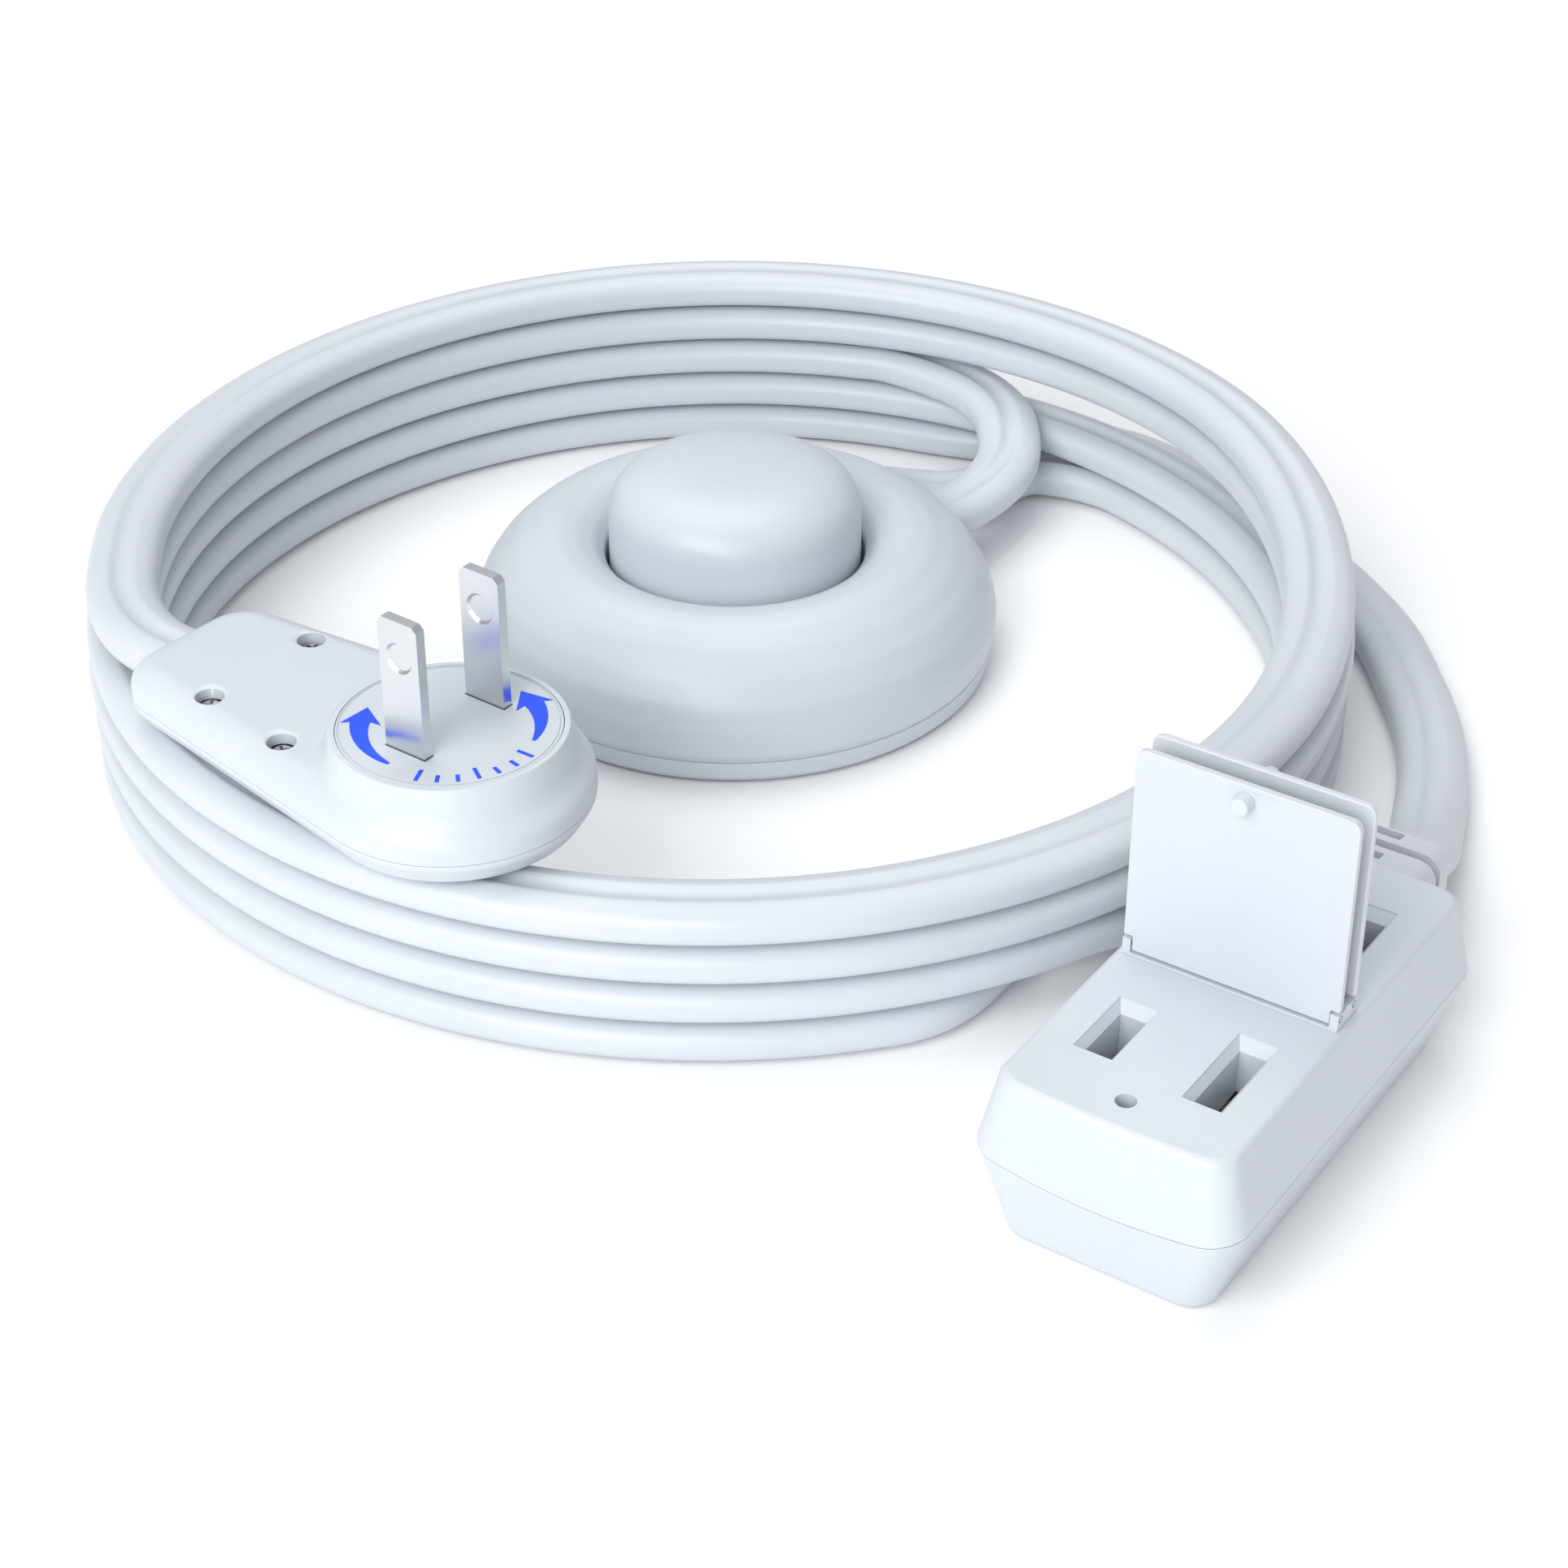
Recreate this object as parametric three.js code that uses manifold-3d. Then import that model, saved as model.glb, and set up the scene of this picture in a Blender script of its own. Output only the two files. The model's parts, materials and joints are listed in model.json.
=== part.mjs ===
// A two-wire extension cord with a rotating flat plug, a round foot switch and a two-outlet block with
// flip-up covers. Millimetres, +Z up. The origin is the centre of the foot switch's underside, on the floor.
import * as THREE from "three";
import { mergeVertices } from "three/addons/utils/BufferGeometryUtils.js";
import { ConvexGeometry } from "three/addons/geometries/ConvexGeometry.js";
import Module from "manifold-3d";

const wasm = await Module();
wasm.setup();

// ---- Driving dimensions -------------------------------------------------------------------------------

const GAP = 0.3; // clearance between neighbouring pieces

const CORD_WIDTH = 8.6; // flat two-wire cord
const CORD_THICKNESS = 5.0;
const LAYER = 5.1; // height of one turn in the stack
const COIL_CENTRE = [-1.3, -11.0];
const COIL_RADIUS = 73.1; // to the middle of the cord
const COIL_LAYERS = 4;

const BLADE_SPACING = 12.7; // standard for a two-pole parallel-blade plug
const BLADE_WIDTH = 5.4;
const BLADE_THICKNESS = 1.25;
const BLADE_LENGTH = 15.9;
const BLADE_HOLE_RADIUS = 1.6;
const BLADE_CHAMFER = 0.6;

const PLUG_CENTRE = [-29.4, -69.0, COIL_LAYERS * LAYER + GAP]; // centre of the disc, underside of the plug
const PLUG_TURN = 141.5; // degrees, from +X to the cord end of the plug
const PLUG_ROUND_RADIUS = 15.5;
const PLUG_TAIL_RADIUS = 6.0;
const PLUG_TAIL_X = 37.0;
const PLUG_TAIL_Y = 4.6;
const PLUG_SEAM_Z = 3.2;
const PLUG_DECK_Z = 7.2;
const PLUG_TOP_Z = 11.0;
const PLUG_WALL = 1.8;
const PLUG_MOUTH_Z = 3.2; // height of the cord's middle where it enters the plug
const DISC_RADIUS = 12.2;
const HUB_RADIUS = 9.5;
const PLUG_SCREWS = [
  [29.2, 7.8],
  [29.2, -7.8],
  [16.3, 9.4],
  [16.3, -9.4],
];
const BLADE_TURN = 92; // degrees, from the plug's long axis to the line through both blades

const SWITCH_RADIUS = 33.3;
const SWITCH_BASE_RADIUS = 32.8;
const SWITCH_SEAM_Z = 3.2;
const PAD_RADIUS = 28.0;
const PAD_THICKNESS = 1.2;
const BUTTON_RADIUS = 16.0;
const BUTTON_TOP_Z = 26.8;
const BUTTON_SKIRT_Z = 6.5;
const GUIDE_Z = 8.0; // lower end of the housing's guide wall, which keeps the button in
const SWITCH_PORTS = [40, 60]; // degrees around the switch: plug side, outlet side
const SWITCH_PORT_Z = 6.6;
const SWITCH_SCREW_ANGLES = [90, 210, 330];
const TERMINAL_RADIUS = 21.5;
const CONDUCTOR_RADIUS = 0.9;
const CONDUCTOR_OFFSET = 2.1; // from the middle of the flat cord to each conductor
const SWITCH_SCREW_RADIUS = 24.5;

const BLOCK_CENTRE = [52.0, -98.2];
const BLOCK_TURN = -34.0; // degrees, from +Y to the cord end of the block
const BLOCK_TOP = [13.0, 26.9]; // half width and half length of the top face
const BLOCK_EQUATOR = [14.8, 28.4];
const BLOCK_FOOT = [11.8, 26.8];
const BLOCK_EQUATOR_Z = 10.8;
const BLOCK_HEIGHT = 19.5;
const BLOCK_WALL = 1.8;
const SLOT_Y = 13.6; // from the middle of the block to the middle of each outlet
const SLOT_WIDTH = 2.9;
const NARROW_SLOT_LENGTH = 7.1;
const WIDE_SLOT_LENGTH = 9.6;
const LATCH_HOLE_Y = 23.2;
const LATCH_HOLE_RADIUS = 1.25;

const FLAP_AXIS_Y = 1.5; // distance of each cover's hinge axis from the middle of the block
const FLAP_AXIS_Z = 20.75;
const FLAP_WIDTH = 24.2;
const FLAP_REACH = 23.4;
const FLAP_THICKNESS = 1.0;
const LATCH_PIN_RADIUS = 1.0;
const LATCH_PIN_LENGTH = 1.6;
const BARREL_RADIUS = 0.9;
const HINGE_PIN_RADIUS = 0.3;
const HINGE_BORE_RADIUS = 0.6;
const KNUCKLE_WIDTH = 0.9;
const RELIEF_START = 28.75;
const RELIEF_END = 38.0;
const RELIEF_Z = 11.0;

const coilTop = COIL_LAYERS * LAYER - 0.2;
const topTurnZ = coilTop + CORD_THICKNESS / 2 + GAP;

// ---- Colours and finishes ------------------------------------------------------------------------------

const plastic = (color, roughness) => new THREE.MeshStandardMaterial({ color, roughness, metalness: 0 });
const metal = (color, roughness) => new THREE.MeshStandardMaterial({ color, roughness, metalness: 1 });
const whiteShell = plastic(0xe4e9ee, 0.35);
const greyDisc = plastic(0xd3d9df, 0.4);
const whiteCord = plastic(0xdfe5eb, 0.45);
const darkPlastic = plastic(0x4a4d52, 0.6);
const softPad = plastic(0xb9bec4, 0.9);
const wireInsulation = plastic(0xc9cdd2, 0.55);
const nickel = metal(0xc8ccd0, 0.2);
const brass = metal(0xc9a35a, 0.35);
const steel = metal(0x8f9398, 0.4);

// ---- Solids --------------------------------------------------------------------------------------------

// A closed geometry as a solid, whichever way its faces point.
function solid(geometry) {
  const bare = geometry.index ? geometry.clone() : mergeVertices(stripped(geometry), 1e-4);
  const merged = mergeVertices(stripped(bare), 1e-4);
  const triVerts = new Uint32Array(merged.index.array);
  const vertProperties = new Float32Array(merged.attributes.position.array);
  const made = new wasm.Manifold(new wasm.Mesh({ numProp: 3, vertProperties, triVerts }));
  if (made.volume() >= 0) return made;
  triVerts.reverse();
  return new wasm.Manifold(new wasm.Mesh({ numProp: 3, vertProperties, triVerts }));
}

function stripped(geometry) {
  const bare = geometry.clone();
  bare.deleteAttribute("normal");
  bare.deleteAttribute("uv");
  return bare;
}

function geometryOf(made) {
  const { numProp, vertProperties, triVerts } = made.getMesh();
  const positions = new Float32Array((vertProperties.length / numProp) * 3);
  for (let i = 0; i < positions.length / 3; i++) {
    positions.set(vertProperties.subarray(i * numProp, i * numProp + 3), i * 3);
  }
  const geometry = new THREE.BufferGeometry();
  geometry.setAttribute("position", new THREE.BufferAttribute(positions, 3));
  geometry.setIndex(new THREE.BufferAttribute(new Uint32Array(triVerts), 1));
  geometry.computeVertexNormals();
  return geometry;
}

const join = (...geometries) => geometryOf(geometries.map(solid).reduce((a, b) => a.add(b)));

function cut(geometry, ...tools) {
  return geometryOf(tools.map(solid).reduce((a, b) => a.subtract(b), solid(geometry)));
}

// A round bar along Z, from z0 to z1.
function bar(radius, z0, z1, x = 0, y = 0, sides = 24) {
  return new THREE.CylinderGeometry(radius, radius, z1 - z0, sides)
    .rotateX(Math.PI / 2)
    .translate(x, y, (z0 + z1) / 2);
}

// A box given by its lowest and highest corners.
function box([x0, y0, z0], [x1, y1, z1]) {
  return new THREE.BoxGeometry(x1 - x0, y1 - y0, z1 - z0)
    .translate((x0 + x1) / 2, (y0 + y1) / 2, (z0 + z1) / 2);
}

// A profile of [radius, z] points turned about Z.
function turned(profile, sides = 36) {
  const points = profile.map(([r, z]) => new THREE.Vector2(r, z));
  return new THREE.LatheGeometry(points, sides).rotateX(Math.PI / 2);
}

function tube(inner, outer, z0, z1, sides = 36) {
  return turned([[inner, z0], [outer, z0], [outer, z1], [inner, z1], [inner, z0]], sides);
}

// The convex solid through flat outlines, each given at its own height.
function hull(...levels) {
  const points = levels.flatMap(([outline, z]) => outline.map(([x, y]) => new THREE.Vector3(x, y, z)));
  return new ConvexGeometry(points);
}

// Corner points of a rectangle with rounded corners, half sizes a and b.
function roundedOutline(a, b, radius, steps = 4) {
  const points = [];
  for (const [sx, sy, start] of [[1, 1, 0], [-1, 1, 90], [-1, -1, 180], [1, -1, 270]]) {
    for (let i = 0; i <= steps; i++) {
      const angle = THREE.MathUtils.degToRad(start + (90 * i) / steps);
      const x = sx * (a - radius) + radius * Math.cos(angle);
      const y = sy * (b - radius) + radius * Math.sin(angle);
      points.push([x, y]);
    }
  }
  return points;
}

// The plug's outline seen from above: a large round end and two small round corners at the cord end.
function plugOutline(inset) {
  const circles = [
    [0, 0, PLUG_ROUND_RADIUS, 28],
    [PLUG_TAIL_X, PLUG_TAIL_Y, PLUG_TAIL_RADIUS, 12],
    [PLUG_TAIL_X, -PLUG_TAIL_Y, PLUG_TAIL_RADIUS, 12],
  ];
  return circles.flatMap(([x, y, radius, count]) =>
    Array.from({ length: count }, (_, i) => {
      const angle = (2 * Math.PI * i) / count;
      return [x + (radius - inset) * Math.cos(angle), y + (radius - inset) * Math.sin(angle)];
    }),
  );
}

// A self-tapping screw: pan head upward at z1, shank down to z0.
function screw(headRadius, headHeight, shankRadius, z0, z1) {
  const driverSlot = box([-headRadius, -0.25, z1 - 0.5], [headRadius, 0.25, z1 + 1]);
  const shape = turned([
    [0, z0],
    [shankRadius * 0.4, z0],
    [shankRadius, z0 + 1],
    [shankRadius, z1 - headHeight],
    [headRadius, z1 - headHeight],
    [headRadius, z1 - 0.25],
    [headRadius - 0.25, z1],
    [0, z1],
  ], 12);
  return cut(shape, driverSlot);
}

// ---- Cords ---------------------------------------------------------------------------------------------

// A smooth curve that carries a flat section and keeps its broad side level.
class LevelCurve extends THREE.CatmullRomCurve3 {
  constructor(points) {
    super(points.map((p) => new THREE.Vector3(...p)), false, "centripetal");
  }
  computeFrenetFrames(segments) {
    const up = new THREE.Vector3(0, 0, 1);
    const frames = { tangents: [], normals: [], binormals: [] };
    for (let i = 0; i <= segments; i++) {
      const tangent = this.getTangentAt(i / segments);
      const side = new THREE.Vector3().crossVectors(tangent, up).normalize();
      frames.tangents.push(tangent);
      frames.normals.push(side);
      frames.binormals.push(new THREE.Vector3().crossVectors(tangent, side));
    }
    return frames;
  }
}

function cord(points, steps) {
  const half = CORD_WIDTH / 2;
  const rise = CORD_THICKNESS / 2;
  const section = new THREE.Shape();
  for (const [x, y] of roundedOutline(half, rise, 1.8, 2)) {
    if (section.curves.length || section.currentPoint.lengthSq()) section.lineTo(x, y);
    else section.moveTo(x, y);
  }
  section.closePath();
  return new THREE.ExtrudeGeometry(section, { steps, extrudePath: new LevelCurve(points), curveSegments: 1 });
}

// A point on a circle about the coil's centre.
function aroundCoil(degrees, radius, z) {
  const angle = THREE.MathUtils.degToRad(degrees);
  return [COIL_CENTRE[0] + radius * Math.cos(angle), COIL_CENTRE[1] + radius * Math.sin(angle), z];
}

function coiledTurns() {
  const outer = COIL_RADIUS + CORD_WIDTH / 2;
  const inner = COIL_RADIUS - CORD_WIDTH / 2;
  const edge = 1.2;
  const top = coilTop;
  return turned([
    [inner + edge, 0],
    [outer - edge, 0],
    [outer, edge],
    [outer, top - edge],
    [outer - edge, top],
    [inner + edge, top],
    [inner, top - edge],
    [inner, edge],
    [inner + edge, 0],
  ], 64).translate(COIL_CENTRE[0], COIL_CENTRE[1], 0);
}

// The last turn, which lies on the stack from the plug round the left and the back to the right.
function topTurn() {
  const mouth = plugPoint(PLUG_TAIL_X + PLUG_TAIL_RADIUS + GAP, 0, PLUG_CENTRE[2] + PLUG_MOUTH_Z);
  const lead = [
    [-66.6, -39.0, 23.7],
    [-70.0, -33.6, 23.3],
    [-72.6, -26.0, topTurnZ],
  ];
  const turn = [];
  for (let angle = 180; angle >= 12; angle -= 12) turn.push(aroundCoil(angle, COIL_RADIUS, topTurnZ));
  return [mouth, ...lead, ...turn];
}

function plugPoint(x, y, z) {
  const turn = THREE.MathUtils.degToRad(PLUG_TURN);
  return [
    PLUG_CENTRE[0] + x * Math.cos(turn) - y * Math.sin(turn),
    PLUG_CENTRE[1] + x * Math.sin(turn) + y * Math.cos(turn),
    z,
  ];
}

function blockPoint(x, y, z) {
  const turn = THREE.MathUtils.degToRad(BLOCK_TURN);
  return [
    BLOCK_CENTRE[0] + x * Math.cos(turn) - y * Math.sin(turn),
    BLOCK_CENTRE[1] + x * Math.sin(turn) + y * Math.cos(turn),
    z,
  ];
}

// A point on a circle about the switch's centre.
function aroundSwitch(degrees, radius, z) {
  const angle = THREE.MathUtils.degToRad(degrees);
  return [radius * Math.cos(angle), radius * Math.sin(angle), z];
}

const plugSideLead = [
  aroundSwitch(SWITCH_PORTS[0], 35.2, SWITCH_PORT_Z),
  aroundSwitch(SWITCH_PORTS[0], 37.4, SWITCH_PORT_Z + 0.1),
  [31.8, 26.8, 7.3],
  [34.6, 29.8, 8.1],
  [36.8, 34.4, 9.0],
  [37.3, 39.6, 10.0],
];
const outletSideLead = [
  aroundSwitch(SWITCH_PORTS[1], 35.2, SWITCH_PORT_Z),
  aroundSwitch(SWITCH_PORTS[1], 37.0, SWITCH_PORT_Z - 0.1),
  [20.8, 34.8, 4.8],
  [24.6, 36.5, 3.2],
  [29.0, 37.0, 2.6],
  [33.0, 38.4, 2.6],
];
const outletLead = [
  aroundCoil(42, 82.5, 2.6),
  aroundCoil(25, 82.5, 2.6),
  aroundCoil(14.6, 83.9, 2.6),
  aroundCoil(6, 85.4, 2.6),
  [84.85, -14.0, 2.6],
  [85.2, -19.0, 2.6],
  [85.2, -25.0, 2.6],
  [84.8, -30.4, 2.6],
  [84.0, -35.8, 2.7],
  [82.9, -41.1, 3.1],
  [81.2, -47.7, 4.0],
  [79.0, -55.8, 6.2],
  [76.2, -61.3, 8.8],
  blockPoint(0, RELIEF_END + GAP + 1.5, RELIEF_Z - 0.1),
  blockPoint(0, RELIEF_END + GAP, RELIEF_Z),
];

// ---- Plug ----------------------------------------------------------------------------------------------

function plugMouth(z0, z1) {
  const half = CORD_WIDTH / 2 + 0.5;
  return box([PLUG_TAIL_X - 2, -half, z0], [PLUG_TAIL_X + 10, half, z1]);
}

function plugLowerShell() {
  const shell = hull(
    [plugOutline(2.4), 0],
    [plugOutline(0.7), 1.0],
    [plugOutline(0), 2.4],
    [plugOutline(0), PLUG_SEAM_Z],
  );
  const hollow = hull([plugOutline(PLUG_WALL), 1.6], [plugOutline(PLUG_WALL), PLUG_SEAM_Z + 1]);
  const posts = PLUG_SCREWS.map(([x, y]) => bar(2.2, 1.0, PLUG_SEAM_Z, x, y, 16));
  const pilots = PLUG_SCREWS.map(([x, y]) => bar(1.05, 0.9, PLUG_SEAM_Z + 1, x, y, 16));
  return cut(join(cut(shell, hollow), ...posts), ...pilots, plugMouth(0.7, PLUG_SEAM_Z + 1));
}

function plugUpperShell() {
  const body = hull(
    [plugOutline(0), PLUG_SEAM_Z + GAP],
    [plugOutline(0), 4.8],
    [plugOutline(0.9), 6.4],
    [plugOutline(2.6), PLUG_DECK_Z],
  );
  const boss = turned([
    [0, 5.0],
    [15.3, 5.0],
    [14.9, 6.6],
    [13.9, 7.8],
    [13.4, 9.2],
    [13.3, 10.6],
    [12.9, PLUG_TOP_Z],
    [0, PLUG_TOP_Z],
  ]);
  const hollow = hull([plugOutline(PLUG_WALL), 0], [plugOutline(PLUG_WALL), 4.4], [plugOutline(3.8), 5.7]);
  const bossHollow = bar(11.5, 5, 6.6, 0, 0, 36);
  const discWell = bar(DISC_RADIUS + GAP, 7.9, PLUG_TOP_Z + 1, 0, 0, 48);
  const hubHole = bar(HUB_RADIUS + GAP, 6, 8.5, 0, 0, 36);
  const posts = PLUG_SCREWS.map(([x, y]) => bar(2.4, PLUG_SEAM_Z + GAP, 6.2, x, y, 16));
  const pilots = PLUG_SCREWS.map(([x, y]) => bar(1.05, 3, 6, x, y, 16));
  const wells = PLUG_SCREWS.map(([x, y]) => bar(1.65, 4.7, PLUG_DECK_Z + 2, x, y, 20));
  const shell = join(cut(join(body, boss), hollow, bossHollow), ...posts);
  return cut(shell, discWell, hubHole, ...pilots, ...wells, plugMouth(PLUG_SEAM_Z, 5.8));
}

function bladeSlot(side) {
  const middle = (side * BLADE_SPACING) / 2;
  const halfThick = BLADE_THICKNESS / 2 + GAP;
  const halfWide = BLADE_WIDTH / 2 + GAP;
  return box([middle - halfThick, -halfWide, 0], [middle + halfThick, halfWide, PLUG_TOP_Z + 1]);
}

function rotatingDisc() {
  const shape = turned([
    [0, 3.8],
    [HUB_RADIUS, 3.8],
    [HUB_RADIUS, 4.3],
    [HUB_RADIUS - 0.75, 4.3],
    [HUB_RADIUS - 0.75, 5.6],
    [HUB_RADIUS, 5.6],
    [HUB_RADIUS, 8.2],
    [DISC_RADIUS, 8.2],
    [DISC_RADIUS, 10.7],
    [DISC_RADIUS - 0.4, PLUG_TOP_Z],
    [0, PLUG_TOP_Z],
  ]);
  return cut(shape, bladeSlot(-1), bladeSlot(1));
}

// A flat contact blade with a chamfered tip and a round hole, standing at +X from the disc's centre.
function blade() {
  const tip = PLUG_TOP_Z + BLADE_LENGTH;
  const half = BLADE_WIDTH / 2;
  const middle = BLADE_SPACING / 2;
  const outline = new THREE.Shape([
    new THREE.Vector2(-half, 4.1),
    new THREE.Vector2(half, 4.1),
    new THREE.Vector2(half, tip - BLADE_CHAMFER),
    new THREE.Vector2(half - BLADE_CHAMFER, tip),
    new THREE.Vector2(-half + BLADE_CHAMFER, tip),
    new THREE.Vector2(-half, tip - BLADE_CHAMFER),
  ]);
  outline.holes.push(new THREE.Path().absarc(0, tip - 4.4, BLADE_HOLE_RADIUS, 0, 2 * Math.PI, true));
  const sheet = { depth: BLADE_THICKNESS, bevelEnabled: false, curveSegments: 12 };
  return new THREE.ExtrudeGeometry(outline, sheet)
    .rotateX(Math.PI / 2)
    .rotateZ(Math.PI / 2)
    .translate(middle - BLADE_THICKNESS / 2, 0, 0);
}

// The blade that feeds the slip ring: its tail runs straight down to the ring.
function lineBlade() {
  const middle = BLADE_SPACING / 2;
  return join(blade(), box([middle - 0.6, -1.4, 3.0], [middle + 0.6, 1.4, 5.0]));
}

// The blade that feeds the centre contact: its foot runs inward under the hub.
function neutralBlade() {
  const middle = BLADE_SPACING / 2;
  const leg = box([middle - 0.6, -1.4, 3.0], [middle + 0.6, 1.4, 5.0]);
  const foot = box([-1.2, -1.4, 3.0], [middle, 1.4, 3.5]);
  return join(blade(), leg, foot).rotateZ(Math.PI);
}

function slipRing() {
  return join(tube(5.2, 7.6, 2.4, 2.7), box([6.6, -1.2, 2.4], [11.4, 1.2, 2.7]));
}

function centreContact() {
  const contact = join(bar(2.1, 1.9, 2.7, 0, 0, 20), box([0, -1.0, 1.9], [11.4, 1.0, 2.1]));
  return contact.rotateZ(THREE.MathUtils.degToRad(-30));
}

// A round wire along a smooth path.
function conductor(points, radius = CONDUCTOR_RADIUS, steps = 6) {
  const path = new THREE.CatmullRomCurve3(points.map((p) => new THREE.Vector3(...p)), false, "centripetal");
  const section = new THREE.Shape().absarc(0, 0, radius, 0, 2 * Math.PI, false);
  return new THREE.ExtrudeGeometry(section, { steps, extrudePath: path, curveSegments: 4 });
}

function plugGland() {
  const half = CORD_WIDTH / 2 + 0.2;
  const sleeve = box([PLUG_TAIL_X + 0.2, -half, 1.0], [PLUG_TAIL_X + PLUG_TAIL_RADIUS - 0.1, half, 5.5]);
  const flange = box([PLUG_TAIL_X + 0.2, -6.2, 1.9], [PLUG_TAIL_X + 2.0, 6.2, 4.8]);
  const passages = [-CONDUCTOR_OFFSET, CONDUCTOR_OFFSET].map((y) =>
    new THREE.CylinderGeometry(1.2, 1.2, 12, 16).rotateZ(Math.PI / 2).translate(PLUG_TAIL_X + 3, y, 3.4),
  );
  return cut(join(sleeve, flange), ...passages);
}

// ---- Foot switch ---------------------------------------------------------------------------------------

function portTool(index, halfWidth, z0, z1) {
  return box([SWITCH_RADIUS - 5, -halfWidth, z0], [SWITCH_RADIUS + 4, halfWidth, z1]).rotateZ(
    THREE.MathUtils.degToRad(SWITCH_PORTS[index]),
  );
}

function switchScrewPlaces() {
  return SWITCH_SCREW_ANGLES.map((degrees) => {
    const angle = THREE.MathUtils.degToRad(degrees);
    return [SWITCH_SCREW_RADIUS * Math.cos(angle), SWITCH_SCREW_RADIUS * Math.sin(angle)];
  });
}

function switchBase() {
  const plate = turned([
    [0, PAD_THICKNESS + GAP],
    [PAD_RADIUS + GAP, PAD_THICKNESS + GAP],
    [PAD_RADIUS + GAP, 0.3],
    [SWITCH_BASE_RADIUS - 0.8, 0.3],
    [SWITCH_BASE_RADIUS, 1.1],
    [SWITCH_BASE_RADIUS, SWITCH_SEAM_Z],
    [0, SWITCH_SEAM_Z],
  ]);
  const springPost = bar(2.6, SWITCH_SEAM_Z - 0.5, 7.0, 0, 0, 20);
  const holes = switchScrewPlaces().flatMap(([x, y]) => [
    bar(1.3, 0, 5, x, y, 16),
    bar(2.4, 0, 2.4, x, y, 16),
  ]);
  return cut(join(plate, springPost), ...holes);
}

function switchHousing() {
  const shell = turned([
    [SWITCH_BASE_RADIUS - 0.1, SWITCH_SEAM_Z + GAP],
    [SWITCH_RADIUS, 4.8],
    [SWITCH_RADIUS + 0.1, 7.4],
    [32.5, 10.4],
    [30.6, 13.3],
    [28.0, 15.8],
    [25.0, 17.4],
    [22.4, 17.9],
    [20.0, 17.5],
    [18.0, 16.5],
    [BUTTON_RADIUS + 0.5, 15.2],
    [BUTTON_RADIUS + 0.5, GUIDE_Z],
    [BUTTON_RADIUS + 2.0, GUIDE_Z],
    [BUTTON_RADIUS + 2.0, 14.2],
    [20.4, 15.7],
    [22.4, 16.1],
    [24.6, 15.7],
    [27.0, 14.3],
    [29.3, 12.0],
    [30.9, 9.7],
    [31.5, 7.2],
    [31.3, SWITCH_SEAM_Z + GAP],
    [SWITCH_BASE_RADIUS - 0.1, SWITCH_SEAM_Z + GAP],
  ], 44);
  const posts = switchScrewPlaces().map(([x, y]) => bar(2.6, SWITCH_SEAM_Z + GAP, 15.6, x, y, 16));
  const pilots = switchScrewPlaces().map(([x, y]) => bar(1.05, 3, 11, x, y, 16));
  const ports = SWITCH_PORTS.map((_, i) =>
    portTool(i, CORD_WIDTH / 2 + 0.7, SWITCH_PORT_Z - 3.0, SWITCH_PORT_Z + 3.0),
  );
  return cut(join(shell, ...posts), ...pilots, ...ports);
}

// A rubber sleeve in a cord port: its inner flange holds it, and two passages lead the conductors in.
function portGrommet(index) {
  const half = CORD_WIDTH / 2 + 0.4;
  const z0 = SWITCH_PORT_Z - 2.7;
  const z1 = SWITCH_PORT_Z + 2.7;
  const sleeve = box([SWITCH_RADIUS - 4.6, -half, z0], [SWITCH_RADIUS + 1.2, half, z1]);
  const passages = [-CONDUCTOR_OFFSET, CONDUCTOR_OFFSET].map((y) =>
    new THREE.CylinderGeometry(1.2, 1.2, 12, 16)
      .rotateZ(Math.PI / 2)
      .translate(SWITCH_RADIUS, y, SWITCH_PORT_Z),
  );
  return cut(sleeve, ...passages).rotateZ(THREE.MathUtils.degToRad(SWITCH_PORTS[index]));
}

// The button's cap, with a lip below the guide wall that keeps it in the housing.
function footButton() {
  const r = BUTTON_RADIUS;
  const lip = GUIDE_Z - GAP;
  return turned([
    [r - 1.6, BUTTON_SKIRT_Z],
    [r + 1.5, BUTTON_SKIRT_Z],
    [r + 1.5, lip],
    [r, lip],
    [r, 21.8],
    [r - 0.5, 23.6],
    [r - 1.9, 25.3],
    [r - 4.2, 26.2],
    [r - 8.0, 26.6],
    [0, BUTTON_TOP_Z],
    [0, 24.6],
    [r - 5.0, 24.2],
    [r - 2.6, 23.0],
    [r - 1.8, 21.0],
    [r - 1.6, BUTTON_SKIRT_Z],
  ], 36);
}

// The hollow stem under the button, which pushes the ratchet wheel round at each press.
function buttonStem() {
  return turned([
    [4.6, 17.0],
    [6.6, 17.0],
    [6.6, 22.4],
    [9.6, 22.4],
    [9.6, 23.7],
    [0, 23.9],
    [0, 22.2],
    [4.6, 22.2],
    [4.6, 17.0],
  ], 32);
}

// The ratchet wheel that the stem turns by one step at each press; it carries the contact bridge.
function ratchetRotor() {
  const wheel = tube(4.3, 8.4, 11.2, 14.0, 32);
  const teeth = Array.from({ length: 8 }, (_, i) =>
    box([7.6, -1.0, 11.2], [9.8, 1.0, 13.0]).rotateZ((i * Math.PI) / 4),
  );
  return join(wheel, ...teeth);
}

function contactBridge() {
  const arms = box([-12.6, -1.6, 10.4], [12.6, 1.6, 10.9]);
  return cut(join(tube(4.9, 7.0, 10.4, 10.9, 32), arms), bar(4.9, 10, 12, 0, 0, 32));
}

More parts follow.
